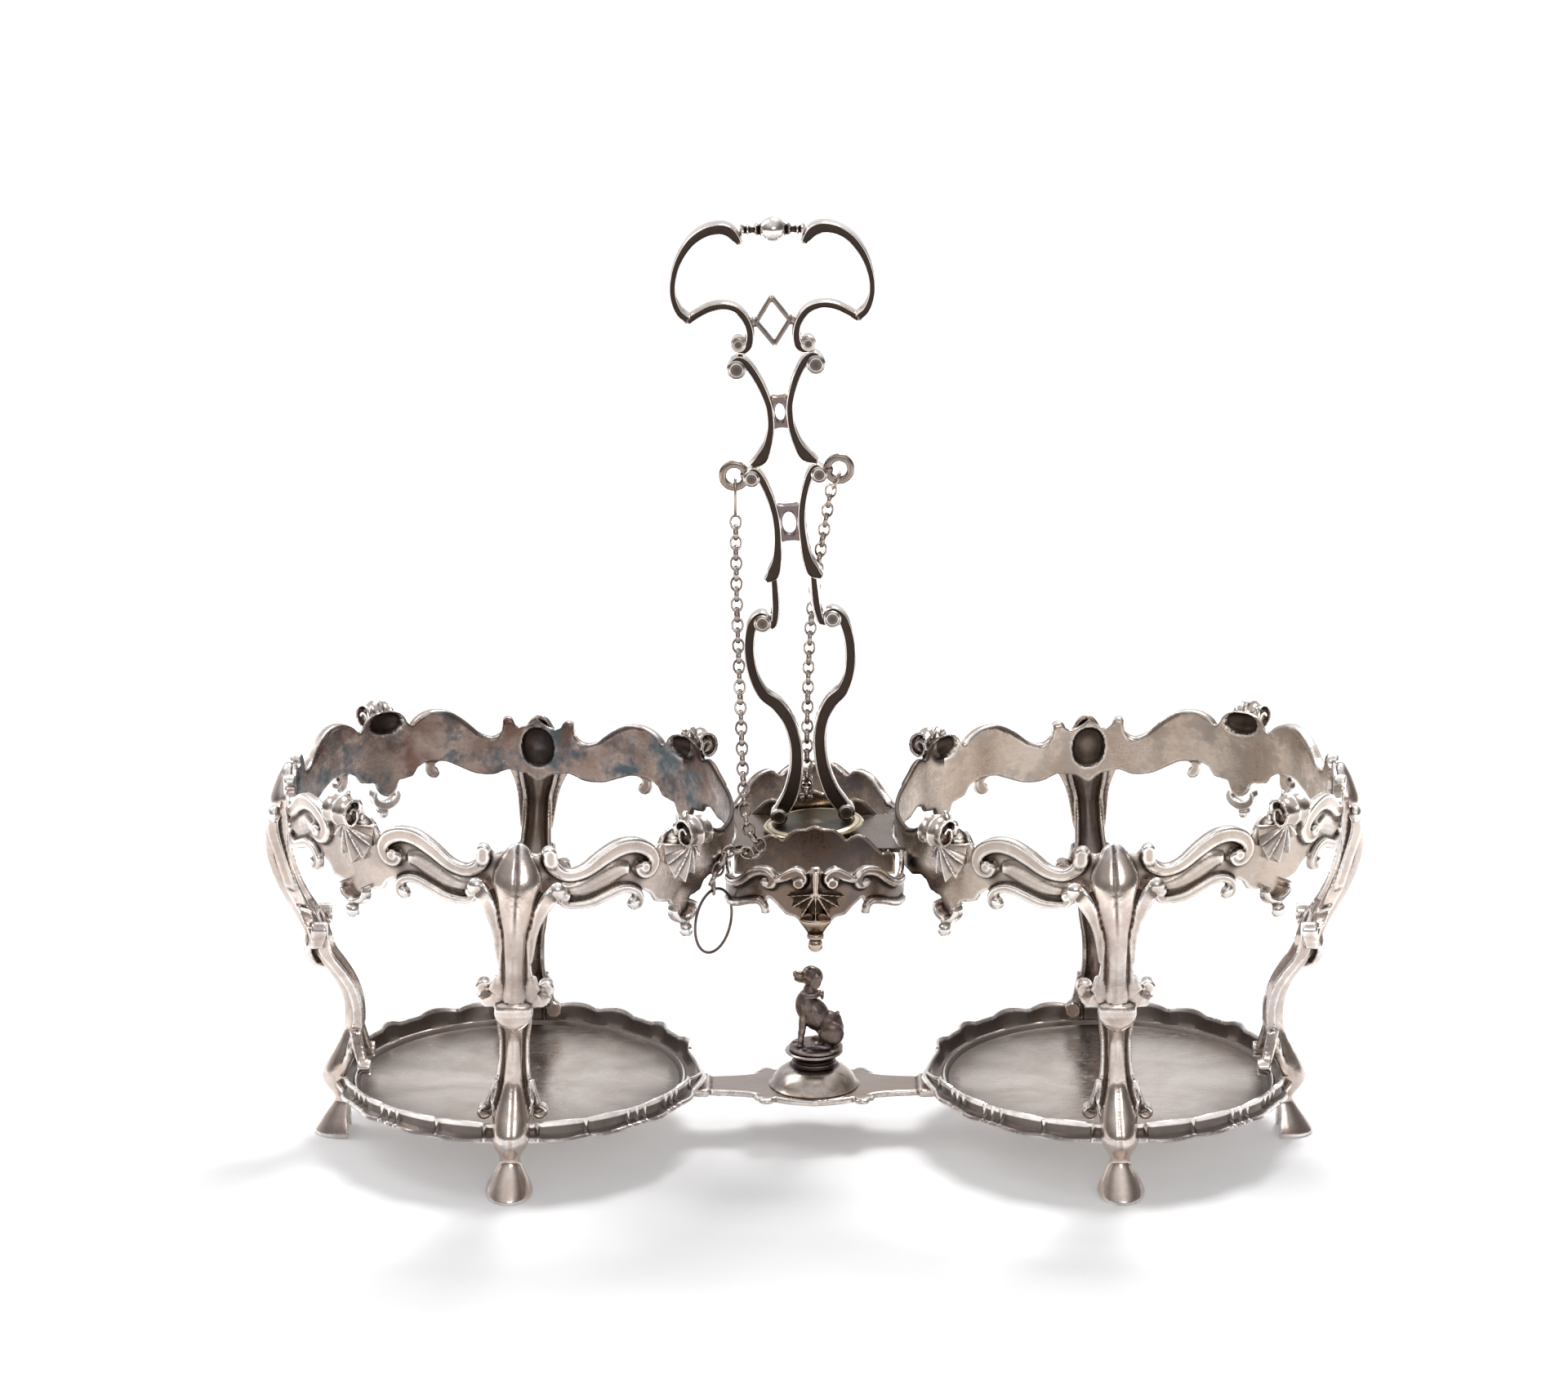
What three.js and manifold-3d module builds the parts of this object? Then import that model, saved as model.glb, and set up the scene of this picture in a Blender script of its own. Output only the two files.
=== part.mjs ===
// Silver cruet stand: two bottle rings on six scroll legs, two stopper rings, a carrying handle
// with two stopper chains, and a small seated dog on the bridge between the bottle plates.
// Millimetres, +Z up, the front towards -Y, the origin on the table under the middle of the stand.
import * as THREE from 'three';
import { mergeVertices } from 'three/addons/utils/BufferGeometryUtils.js';
import Module from 'manifold-3d';

const wasm = await Module();
wasm.setup();

// Driving dimensions
const GAP = 0.3; // running gap between pieces that touch
const PLATE_X = 80; // centre of a bottle plate from the middle of the stand
const RING_X = 79.5; // centre of a bottle ring and its legs
const RING_RADIUS = 58.7; // mean radius of the bottle ring's wall
const RING_LOBE = 1.3; // how far the ring swells at its shells and draws in at its legs
const RING_SWELL = 2; // extra reach of the ring and its leg at the outer end
const RING_TILT = 0.0665; // rise of the ring for each millimetre outward
const WALL = 1.2; // thickness of the cast gallery walls
const OUTER_SHELL_ANGLE = 50; // degrees from the outward axis to the outer shells
const INNER_SHELL_ANGLE = 137; // degrees from the outward axis to the inner shells
const LEG_ANGLE = 92.6; // degrees from the outward axis to the heads of the front and rear legs
const FOOT_OUTWARD = 1.3; // feet of those legs outward of the ring's centre
const PLATE_FLOOR = 15.3; // top of the flat well of a bottle plate
const PLATE_SHEET = 1; // thickness of the plate
const WELL_RADIUS = 44.4;
const RIM_WIDTH = 4.2; // from the well to the rim's edge
const RIM_HEIGHT = 4.6; // rim above the well
const BRIDGE_SHEET = 1.6;
const BRIDGE_ARM = 12.4; // width of the bridge's arms
const BRIDGE_DISC = 14.4; // radius of the bridge's round middle
const PLINTH_TOP = 24;
const DOG_HEIGHT = 24.3;
const STOPPER_CENTRE = 22; // its centre in front of the middle
const STOPPER_REACH = 25; // from that centre to its front
const PANEL_Y = 16; // middle of the panels that close the stopper rings
const PLATFORM_TOP = 85.9;
const FOOT_Z = 88.7; // top of the handle's foot disc
const FOOT_X = -0.3;
const FOOT_RADIUS = 13.5;
const FOOT_SHEET = 1.5;
const HANDLE_LEAN = 3.9; // degrees that the handle leans to the left
const STEM_DEPTH = 4.6; // stems from front to back
const GRIP_DEPTH = 7; // grip from front to back
const EYE_X = 13.8; // chain eyes from the handle's axis
const EYE_Z = 96.2; // chain eyes above the foot disc
const EYE_RADIUS = 3;
const EYE_WIRE = 1;
const LINK_RADIUS = 1.5; // middle of a chain link's band
const LINK_BAND = 0.5;
const LINK_WIDTH = 1.4;
const LINK_PITCH = 2.8;
const LOOP_RADIUS = 8.5; // wire loop that goes round a stopper
const LOOP_WIRE = 0.4;
const HOOK_WIRE = 0.45; // wire of the rings that join chain, eye and loop

const RAD = Math.PI / 180;
const RIM_RADIUS = WELL_RADIUS + RIM_WIDTH;
const BRIDGE_TOP = PLATE_FLOOR - PLATE_SHEET - GAP; // the bridge runs under the plates' rims
const V2 = (x, y) => new THREE.Vector2(x, y);
const V3 = (x, y, z) => new THREE.Vector3(x, y, z);

const stand = new THREE.Group();

// Solids from geometry and back

function solidOf(geometry) {
  const bare = geometry.clone();
  bare.deleteAttribute('normal');
  bare.deleteAttribute('uv');
  const merged = mergeVertices(bare, 1e-4);
  const mesh = new wasm.Mesh({
    numProp: 3,
    vertProperties: new Float32Array(merged.attributes.position.array),
    triVerts: new Uint32Array(merged.index.array),
  });
  return new wasm.Manifold(mesh);
}

function geometryOf(solid) {
  const mesh = solid.getMesh();
  const geometry = new THREE.BufferGeometry();
  geometry.setAttribute('position', new THREE.BufferAttribute(new Float32Array(mesh.vertProperties), 3));
  geometry.setIndex(new THREE.BufferAttribute(new Uint32Array(mesh.triVerts), 1));
  return geometry;
}

function joined(geometries) {
  return geometryOf(geometries.map(solidOf).reduce((whole, piece) => whole.add(piece)));
}

function cut(geometry, tools) {
  return geometryOf(tools.map(solidOf).reduce((rest, tool) => rest.subtract(tool), solidOf(geometry)));
}

function placed(geometry, x, y, z, turnX = 0, turnY = 0, turnZ = 0) {
  return geometry.rotateX(turnX * RAD).rotateY(turnY * RAD).rotateZ(turnZ * RAD).translate(x, y, z);
}

function reversed(geometry) {
  const index = geometry.index.array;
  for (let i = 0; i < index.length; i += 3) {
    [index[i + 1], index[i + 2]] = [index[i + 2], index[i + 1]];
  }
  return geometry;
}

// A copy mirrored across the plane X = 0, with its faces still pointing out
function mirroredX(geometry) {
  const indexed = geometry.index ? geometry.clone() : mergeVertices(stripped(geometry), 1e-5);
  return reversed(indexed.scale(-1, 1, 1));
}

function stripped(geometry) {
  const bare = geometry.clone();
  bare.deleteAttribute('normal');
  bare.deleteAttribute('uv');
  return bare;
}

// A closed skin through like outlines, each point put in space by place(outline number, point)
function loft(outlines, place, closed = false) {
  const size = outlines[0].length;
  const positions = [];
  outlines.forEach((outline, row) => {
    outline.forEach((point) => positions.push(...place(row, point).toArray()));
  });
  const faces = [];
  const rows = outlines.length;
  for (let row = 0; row < (closed ? rows : rows - 1); row += 1) {
    const next = (row + 1) % rows;
    for (let i = 0; i < size; i += 1) {
      const j = (i + 1) % size;
      faces.push(row * size + i, row * size + j, next * size + j);
      faces.push(row * size + i, next * size + j, next * size + i);
    }
  }
  if (!closed) {
    const last = (rows - 1) * size;
    THREE.ShapeUtils.triangulateShape(outlines[0], []).forEach(([a, b, c]) => faces.push(a, c, b));
    THREE.ShapeUtils.triangulateShape(outlines[rows - 1], []).forEach(([a, b, c]) => {
      faces.push(last + a, last + b, last + c);
    });
  }
  const geometry = new THREE.BufferGeometry();
  geometry.setAttribute('position', new THREE.Float32BufferAttribute(positions, 3));
  geometry.setIndex(faces);
  return volumeOf(geometry) < 0 ? reversed(geometry) : geometry;
}

function volumeOf(geometry) {
  const position = geometry.attributes.position;
  const index = geometry.index.array;
  const corner = (i) => V3().fromBufferAttribute(position, index[i]);
  let volume = 0;
  for (let i = 0; i < index.length; i += 3) {
    volume += corner(i).dot(corner(i + 1).cross(corner(i + 2))) / 6;
  }
  return volume;
}

// Straight-line reading of a hand-drawn edge: points are [place, value]
function edgeAt(points, at) {
  const last = points.length - 1;
  const i = Math.min(last - 1, Math.max(0, points.findIndex(([x]) => x > at) - 1));
  const start = at >= points[last][0] ? last - 1 : i;
  const [x0, z0] = points[start];
  const [x1, z1] = points[start + 1];
  return z0 + (z1 - z0) * THREE.MathUtils.clamp((at - x0) / (x1 - x0), 0, 1);
}

// A closed round wire through points
function wireLoop(points, radius, sides) {
  const middle = points.reduce((sum, p) => sum.add(p), V3(0, 0, 0)).divideScalar(points.length);
  const normal = points[0].clone().sub(middle).cross(points[1].clone().sub(middle)).normalize();
  const circle = Array.from({ length: sides }, (_, i) => {
    const a = (i / sides) * 2 * Math.PI;
    return V2(radius * Math.cos(a), radius * Math.sin(a));
  });
  return loft(points.map(() => circle), (row, p) => {
    const before = points[(row + points.length - 1) % points.length];
    const after = points[(row + 1) % points.length];
    const across = after.clone().sub(before).normalize().cross(normal);
    return points[row].clone().addScaledVector(across, p.x).addScaledVector(normal, p.y);
  }, true);
}

function add(name, geometry, colour, group = stand) {
  const material = new THREE.MeshStandardMaterial({ color: colour, roughness: 0.35, metalness: 1 });
  const mesh = new THREE.Mesh(geometry, material);
  mesh.name = name;
  group.add(mesh);
  return mesh;
}

const SILVER = 0xa79c93;
const BRIGHT_SILVER = 0xcfc8c0;
const DARK_SILVER = 0x6b625d;
const CHAIN_SILVER = 0x8b8480;

// Bottle rings: a low cast wall with scrolled edges, in four sections between its shells

function ringRadius(angle) {
  const swell = RING_SWELL * Math.max(0, Math.cos(angle * RAD)) ** 4;
  return RING_RADIUS - RING_LOBE * Math.cos(4 * angle * RAD) + swell;
}

// Right-hand ring; angles run from the outward axis round by the front
function onRing(angle, offset, z) {
  const r = ringRadius(angle) + offset;
  const out = r * Math.cos(angle * RAD);
  return V3(RING_X + out, -r * Math.sin(angle * RAD), z + RING_TILT * out);
}

// Edges of one half unit, from its leg (0) to its shell (1), as [share of the way, height]
const SCROLL_TOP = [[0, 96.4], [0.14, 96.8], [0.2, 100.2], [0.24, 98.2], [0.27, 94.8], [0.32, 94.2],
  [0.4, 95.9], [0.51, 99.6], [0.61, 102], [0.71, 102.5], [0.8, 100.6], [0.86, 97.6], [1, 98.4]];
const SCROLL_BOTTOM = [[0, 84.2], [0.14, 84.4], [0.25, 85.3], [0.33, 84.5], [0.42, 85.2], [0.52, 87.6],
  [0.6, 89.4], [0.68, 88.8], [0.74, 87.6], [0.8, 85.8], [0.86, 83.5], [0.9, 81], [1, 78.2]];
// The plain wall towards the middle, from the middle (0) to the shell (1)
const PLAIN_TOP = [[0, 96], [0.5, 96.4], [0.75, 98.8], [1, 98.4]];
const PLAIN_BOTTOM = [[0, 86.4], [0.55, 86], [0.8, 83.4], [1, 78.2]];

function ringEdges(angle) {
  const a = Math.abs(angle > 180 ? angle - 360 : angle);
  if (a > INNER_SHELL_ANGLE) {
    const share = (180 - a) / (180 - INNER_SHELL_ANGLE);
    return [edgeAt(PLAIN_TOP, share), edgeAt(PLAIN_BOTTOM, share)];
  }
  let share = a / OUTER_SHELL_ANGLE;
  if (a > LEG_ANGLE) share = (a - LEG_ANGLE) / (INNER_SHELL_ANGLE - LEG_ANGLE);
  else if (a > OUTER_SHELL_ANGLE) share = (LEG_ANGLE - a) / (LEG_ANGLE - OUTER_SHELL_ANGLE);
  return [edgeAt(SCROLL_TOP, share), edgeAt(SCROLL_BOTTOM, share)];
}

function wallSection(from, to, steps) {
  const angles = Array.from({ length: steps + 1 }, (_, i) => from + ((to - from) * i) / steps);
  const outlines = angles.map((angle) => {
    const [top, bottom] = ringEdges(angle);
    return [V2(-WALL / 2, bottom), V2(WALL / 2, bottom), V2(WALL / 2, top), V2(-WALL / 2, top)];
  });
  return loft(outlines, (row, p) => onRing(angles[row], p.x, p.y));
}

const joint = (GAP / 2 / RING_RADIUS) / RAD; // half the gap between two sections, in degrees
const SECTIONS = {
  front: [OUTER_SHELL_ANGLE + joint, INNER_SHELL_ANGLE - joint, 26],
  outer: [-OUTER_SHELL_ANGLE + joint, OUTER_SHELL_ANGLE - joint, 30],
  rear: [-INNER_SHELL_ANGLE + joint, -OUTER_SHELL_ANGLE - joint, 26],
  inner: [INNER_SHELL_ANGLE + joint, 360 - INNER_SHELL_ANGLE - joint, 16],
};
Object.entries(SECTIONS).forEach(([place, [from, to, steps]]) => {
  const wall = wallSection(from, to, steps);
  add(`gallery_right_${place}`, wall, SILVER);
  add(`gallery_left_${place}`, mirroredX(wall), SILVER);
});

// Shell castings: a ribbed fan, two volutes above it and a drop below, soldered over each joint.
// Modelled facing -Y with the fan's middle at the origin of X and Z.
const FAN_HALF_WIDTH = 7.3;
const FAN_TOP = 4.2;
const FAN_DEPTH = 5.2;
const FAN_RELIEF = 2.2;
const VOLUTE_RADIUS = 2.9;
const DROP_BALL = 1.5;

function fanOutline(halfWidth, top, depth, lobes) {
  const points = [V2(0, top)];
  for (let i = 0; i <= lobes * 2; i += 1) {
    const a = (160 + (220 * i) / (lobes * 2)) * RAD;
    const reach = i % 2 === 0 ? 1 : 0.86;
    points.push(V2(halfWidth * reach * Math.cos(a), depth * reach * Math.sin(a)));
  }
  return new THREE.Shape(points);
}

function shellCasting(scale, volutes, dropLength) {
  const fan = new THREE.ExtrudeGeometry(
    fanOutline(FAN_HALF_WIDTH * scale, FAN_TOP * scale, FAN_DEPTH * scale, 5),
    { depth: FAN_RELIEF, bevelEnabled: false },
  );
  const pieces = [placed(fan, 0, 0, 0, 90)];
  const drop = new THREE.LatheGeometry([
    V2(0, -dropLength), V2(DROP_BALL * 0.9, -dropLength + 0.7), V2(DROP_BALL, -dropLength + 2),
    V2(0.9, -dropLength + 3.4), V2(1.7, -dropLength + 4.4), V2(2, -dropLength + 6),
    V2(1.2, -FAN_DEPTH * scale + 1), V2(0, -FAN_DEPTH * scale + 1),
  ], 6);
  pieces.push(placed(drop, 0, -DROP_BALL - 0.4, 0, 90));
  if (volutes) {
    [-1, 1].forEach((side) => {
      const volute = new THREE.CylinderGeometry(VOLUTE_RADIUS, VOLUTE_RADIUS, FAN_RELIEF, 8);
      pieces.push(volute.translate(side * 2.6, -FAN_RELIEF / 2, FAN_TOP + 1.6));
    });
  } else {
    const tongue = new THREE.SphereGeometry(1, 8, 6).scale(1.6, 1.6, 4.2);
    pieces.push(tongue.translate(0, -1.6, FAN_TOP * scale + 1.6));
  }
  return joined(pieces);
}

const SHELL_Z = 93.4; // middle of a ring's shell, tilt left out
const SHELL_DROP = 18.6; // from that middle to the drop's end
const shell = shellCasting(1, true, SHELL_DROP);
const SHELL_PLACES = {
  front_outer: OUTER_SHELL_ANGLE,
  front_inner: INNER_SHELL_ANGLE,
  rear_outer: -OUTER_SHELL_ANGLE,
  rear_inner: -INNER_SHELL_ANGLE,
};
Object.entries(SHELL_PLACES).forEach(([place, angle]) => {
  const at = onRing(angle, WALL / 2 + GAP, SHELL_Z);
  const seated = placed(shell.clone(), at.x, at.y, at.z, 0, 0, 90 - angle);
  add(`shell_right_${place}`, seated, SILVER);
  add(`shell_left_${place}`, mirroredX(seated), SILVER);
});

// Legs: half-round castings, hollow behind. Each row is [height, front, edges, half width], front
// and edges measured from a straight line that runs from the plate's rim up to the bottle ring.
const LEG_ROWS = [
  [101, 2.0, 1.0, 0.8], [99.4, 3.2, 1.0, 3.6], [94, 6.2, 1.2, 6.8], [91.4, 7, 1.2, 10], [89, 7.7, 1.4, 10.2],
  [85, 8.7, 1.5, 7.6], [80, 9, 1.5, 5.4], [73, 8.5, 0.8, 4.6], [67, 6.3, -1.3, 5], [62, 3.1, -5.7, 6.8],
  [59, 1.2, -8.2, 8.6], [55.6, 0.5, -8.1, 7.8], [50.6, -2.1, -9.5, 4.2], [44, -6.7, -12.9, 3.6],
  [35, -8.1, -14.3, 4.2], [29.4, -6.8, -15.0, 6.6], [25.6, -4.9, -14.9, 8.2], [22.4, -2.4, -10.4, 6],
  [18.4, -0.1, -6.8, 4.9], [14.8, -0.1, -6.4, 4.5], [11.2, -1.8, -6, 3.1], [6, 1.7, -5.7, 4.1],
  [0, 4.8, -5.4, 6.1],
];
const LEG_HEAD = 84; // where that line reaches the ring
const LEG_WALL = 2; // metal left at the middle of the hollow back
const LEG_STANDS_OUT = 1.4; // lower end of that line outside the plate's rim

function legLine(z) {
  return THREE.MathUtils.lerp(RIM_RADIUS + LEG_STANDS_OUT, RING_RADIUS - RING_LOBE, Math.min(1, z / LEG_HEAD));
}

function legOutline([z, frontOffset, edgeOffset, half]) {
  const front = legLine(z) + frontOffset;
  const edge = legLine(z) + edgeOffset;
  const outer = [0, 45, 90, 135, 180].map((a) => {
    return V2(half * Math.cos(a * RAD), edge + (front - edge) * Math.sin(a * RAD));
  });
  const hollow = Math.max(0.2, front - edge - LEG_WALL) * 0.7;
  return [...outer, V2(-half * 0.6, edge + 0.1), V2(0, edge + hollow), V2(half * 0.6, edge + 0.1)];
}

// Sideways place of a front or rear leg at a height; its head stands nearer the middle than its foot
function legSideways(z) {
  const head = (RING_RADIUS - RING_LOBE) * Math.cos(LEG_ANGLE * RAD);
  return THREE.MathUtils.lerp(FOOT_OUTWARD, head, z / LEG_HEAD);
}

// The rise lifts the head of a leg to meet the tilted ring
function legCasting(shift, rise, sideways) {
  const outlines = LEG_ROWS.map(legOutline);
  return loft(outlines, (row, p) => {
    const z = LEG_ROWS[row][0];
    return V3(p.x + sideways(z), -(p.y + shift), z + rise * THREE.MathUtils.smoothstep(z, 50, LEG_HEAD));
  });
}

const frontLeg = legCasting(0, 0, legSideways).translate(RING_X, 0, 0);
const outerRise = RING_TILT * (ringRadius(0) + WALL / 2);
const outerLeg = placed(legCasting(RING_SWELL, outerRise, () => 0), RING_X, 0, 0, 0, 0, 90);
const rearLeg = reversed(frontLeg.clone().scale(1, -1, 1));
Object.entries({ front: frontLeg, outer: outerLeg, rear: rearLeg }).forEach(([place, leg]) => {
  add(`leg_right_${place}`, leg, BRIGHT_SILVER);
  add(`leg_left_${place}`, mirroredX(leg), BRIGHT_SILVER);
});

// Bottle plates: a flat well and a raised wavy rim, notched round the legs
const RIM_WAVES = 20;
const RIM_WAVE = 0.7;
const RIM_TOP = PLATE_FLOOR + RIM_HEIGHT;
const rimFoot = WELL_RADIUS + RIM_WIDTH / 3; // where the rim starts to rise
const [, , , footHalfWidth] = LEG_ROWS[LEG_ROWS.length - 1];
const [bulbZ, , bulbEdge] = LEG_ROWS.find(([z]) => z < RIM_TOP);
const NOTCH_HALF_WIDTH = footHalfWidth + 1.3 * GAP;
const NOTCH_FROM = legLine(bulbZ) + bulbEdge - GAP;

function plateGeometry() {
  const geometry = new THREE.LatheGeometry([
    V2(0, PLATE_FLOOR - PLATE_SHEET), V2(rimFoot, PLATE_FLOOR - PLATE_SHEET),
    V2(RIM_RADIUS - 1, PLATE_FLOOR + RIM_HEIGHT / 3), V2(RIM_RADIUS, RIM_TOP - 0.7),
    V2(RIM_RADIUS - 0.2, RIM_TOP), V2(RIM_RADIUS - 1.8, RIM_TOP - 0.4),
    V2(WELL_RADIUS, PLATE_FLOOR), V2(0, PLATE_FLOOR),
  ], RIM_WAVES * 3);
  const plate = mergeVertices(stripped(geometry.rotateX(Math.PI / 2)), 1e-4);
  const position = plate.attributes.position;
  for (let i = 0; i < position.count; i += 1) {
    const r = Math.hypot(position.getX(i), position.getY(i));
    const share = THREE.MathUtils.smoothstep(r, rimFoot, RIM_RADIUS);
    const wave = Math.cos(Math.atan2(position.getY(i), position.getX(i)) * RIM_WAVES);
    const grow = 1 + (share * wave * RIM_WAVE) / RIM_RADIUS;
    position.setXYZ(i, position.getX(i) * grow, position.getY(i) * grow,
      position.getZ(i) - share * wave * RIM_WAVE * 0.4);
  }
  return plate;
}

function legNotch(turn, shift, sideways = 0) {
  const depth = RIM_RADIUS + 2 * RIM_WIDTH - NOTCH_FROM;
  const block = new THREE.BoxGeometry(2 * NOTCH_HALF_WIDTH, depth, 4 * RIM_HEIGHT);
  block.translate(0, -(NOTCH_FROM + depth / 2 + shift), PLATE_FLOOR);
  return block.rotateZ(turn * RAD).translate(RING_X - PLATE_X + sideways, 0, 0);
}

const notches = [legNotch(90, RING_SWELL), ...[0, 180].map((turn) => legNotch(turn, 0, legSideways(RIM_TOP)))];
const plate = cut(plateGeometry(), notches);
plate.translate(PLATE_X, 0, 0);
add('plate_right', plate, SILVER);
add('plate_left', mirroredX(plate), SILVER);

// Bridge between the plates, with four lugs round its middle
const LUG_PLACE = 12.4;
const LUG_RADIUS = 2.6;
const bridgeReach = PLATE_X - rimFoot; // the arms end under the rims
const bridgeParts = [
  new THREE.CylinderGeometry(BRIDGE_DISC, BRIDGE_DISC, BRIDGE_SHEET, 32).rotateX(Math.PI / 2),
  new THREE.BoxGeometry(2 * bridgeReach, BRIDGE_ARM, BRIDGE_SHEET),
];
[[1, 1], [-1, 1], [1, -1], [-1, -1]].forEach(([sx, sy]) => {
  const lug = new THREE.CylinderGeometry(LUG_RADIUS, LUG_RADIUS, BRIDGE_SHEET, 10).rotateX(Math.PI / 2);
  bridgeParts.push(lug.translate(sx * LUG_PLACE, sy * LUG_PLACE * 0.9, 0));
});
add('bridge_plate', joined(bridgeParts).translate(0, 0, BRIDGE_TOP - BRIDGE_SHEET / 2), SILVER);

// Turned plinth on the bridge
const plinthFoot = BRIDGE_TOP + GAP;
add('dog_plinth', new THREE.LatheGeometry([
  V2(0, plinthFoot), V2(10.4, plinthFoot), V2(9.6, 16.2), V2(6.6, 18.4), V2(5.2, 20.2),
  V2(5.6, 21.4), V2(7.9, 22.4), V2(7.9, 23.6), V2(7.3, PLINTH_TOP), V2(0, PLINTH_TOP),
], 20).rotateX(Math.PI / 2), SILVER);

// Seated dog, looking to the left. Each lump is [x, y, z, half sizes x, y, z, turn about Y].
const DOG_LUMPS = [
  [0.6, 0, 8.2, 4.6, 3.7, 6.6, -18], [3.4, 0, 4.4, 4.4, 4.6, 4.3, 0], [-1.8, 0, 12.2, 3, 3.2, 4.4, 0],
  [-1, 0, 16.6, 2.2, 2.2, 2.6, 0], [-1.2, 0, 20.6, 2.9, 2.7, 2.8, 0], [-3.8, 0, 20, 2.7, 1.4, 1.3, 8],
  [-0.2, 2.2, 21, 1.2, 0.9, 2.4, 20], [-0.2, -2.2, 21, 1.2, 0.9, 2.4, 20],
  [-3.2, 1.7, 6, 1.3, 1.2, 6, 4], [-3.2, -1.7, 6, 1.3, 1.2, 6, 4],
  [-4.2, 1.7, 0.9, 1.9, 1.3, 0.9, 0], [-4.2, -1.7, 0.9, 1.9, 1.3, 0.9, 0],
  [1.6, 4, 1, 3.4, 1.3, 1, 0], [1.6, -4, 1, 3.4, 1.3, 1, 0], [5.2, 0, 9.4, 1.2, 1, 1.8, 30],
];
const dogLumps = DOG_LUMPS.map(([x, y, z, a, b, c, turn]) => {
  return placed(new THREE.SphereGeometry(1, 8, 5).scale(a, b, c), x, y, z, 0, turn);
});
const collar = new THREE.CylinderGeometry(2.6, 2.8, 1, 12).rotateX(Math.PI / 2);
dogLumps.push(placed(collar, -1.1, 0, 15.4, 0, -8));
dogLumps.push(new THREE.CylinderGeometry(6.4, 6.6, 1, 20).rotateX(Math.PI / 2).translate(0.6, 0, 0.5));
const dog = joined(dogLumps);
dog.computeBoundingBox();
const dogScale = DOG_HEIGHT / (dog.boundingBox.max.z - dog.boundingBox.min.z);
dog.translate(0, 0, -dog.boundingBox.min.z).scale(dogScale, dogScale, dogScale);
add('dog', dog.translate(0, 0, PLINTH_TOP + GAP), DARK_SILVER);

// Stopper rings: a bowed front wall and a flat panel by the handle, at the front and the rear

const STOPPER_SWEEP = 96; // degrees; the ends turn in behind the widest place
const stopperEndY = STOPPER_CENTRE + (STOPPER_REACH + WALL / 2) * Math.cos(STOPPER_SWEEP * RAD);
const besideRing = (y) => {
  const angle = 180 - Math.asin(y / RING_RADIUS) / RAD;
  return RING_X - Math.sqrt((ringRadius(angle) + WALL / 2 + GAP) ** 2 - y ** 2);
};
const stopperHalf = besideRing(stopperEndY) / Math.sin(STOPPER_SWEEP * RAD) - WALL / 2;

// Point on the bowed wall; the angle runs from the front middle to the side
function onStopper(angle, offset, z) {
  const x = (stopperHalf + offset) * Math.sin(angle * RAD);
  return V3(x, -STOPPER_CENTRE - (STOPPER_REACH + offset) * Math.cos(angle * RAD), z);
}

// Edges as [distance from the middle, height]
const STOPPER_TOP = [[0, 88.6], [1.8, 89.8], [2.8, 88.4], [4.6, 91], [7, 89.4], [8.8, 87.4], [10.6, 88.6],
  [13.4, 89.8], [16, 87.6], [18.6, 84.6], [21, 82.8], [23, 83.4]];
const STOPPER_BOTTOM = [[0, 76], [6.8, 76.4], [9, 79.4], [10.6, 80.6], [12.6, 77.4], [15.8, 80],
  [19.4, 76.6], [23, 76.2]];

function stopperWall() {
  const steps = 34;
  const angles = Array.from({ length: steps + 1 }, (_, i) => STOPPER_SWEEP * ((2 * i) / steps - 1));
  const outlines = angles.map((angle) => {
    const x = Math.abs(angle) < 90 ? Math.abs(onStopper(angle, 0, 0).x) : stopperHalf;
    const [top, bottom] = [edgeAt(STOPPER_TOP, x), edgeAt(STOPPER_BOTTOM, x)];
    return [V2(-WALL / 2, bottom), V2(WALL / 2, bottom), V2(WALL / 2, top), V2(-WALL / 2, top)];
  });
  return loft(outlines, (row, p) => onStopper(angles[row], p.x, p.y));
}

// The panel's wavy top, as [distance from the middle, height]; its ends meet the bottle rings
const PANEL_TOP = [[0, 92.4], [1.6, 91.7], [5, 91.5], [7, 90], [8.4, 88.2], [10, 89.8], [12, 90],
  [14.4, 88.6], [17, 86], [20, 84.4], [30, 84.4]];
const PANEL_BOTTOM = 79;

function stopperPanel() {
  const end = besideRing(PANEL_Y - WALL / 2) - GAP / 2;
  const steps = 24;
  const places = Array.from({ length: steps + 1 }, (_, i) => end * ((2 * i) / steps - 1));
  const outlines = places.map((x) => {
    const top = edgeAt(PANEL_TOP, Math.abs(x));
    return [V2(-WALL / 2, PANEL_BOTTOM), V2(WALL / 2, PANEL_BOTTOM), V2(WALL / 2, top), V2(-WALL / 2, top)];
  });
  return loft(outlines, (row, p) => V3(places[row], -PANEL_Y + p.x, p.y));
}

const STOPPER_SHELL_Z = 82.4;
const stopperShell = shellCasting(0.95, false, 14)
  .translate(0, -STOPPER_CENTRE - STOPPER_REACH - WALL / 2 - GAP, STOPPER_SHELL_Z);
const stopperPieces = { ring: stopperWall(), panel: stopperPanel(), shell: stopperShell };
Object.entries(stopperPieces).forEach(([name, geometry]) => {
  add(`stopper_${name}_front`, geometry, SILVER);
  add(`stopper_${name}_rear`, geometry.clone().rotateZ(Math.PI), SILVER);
});

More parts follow.
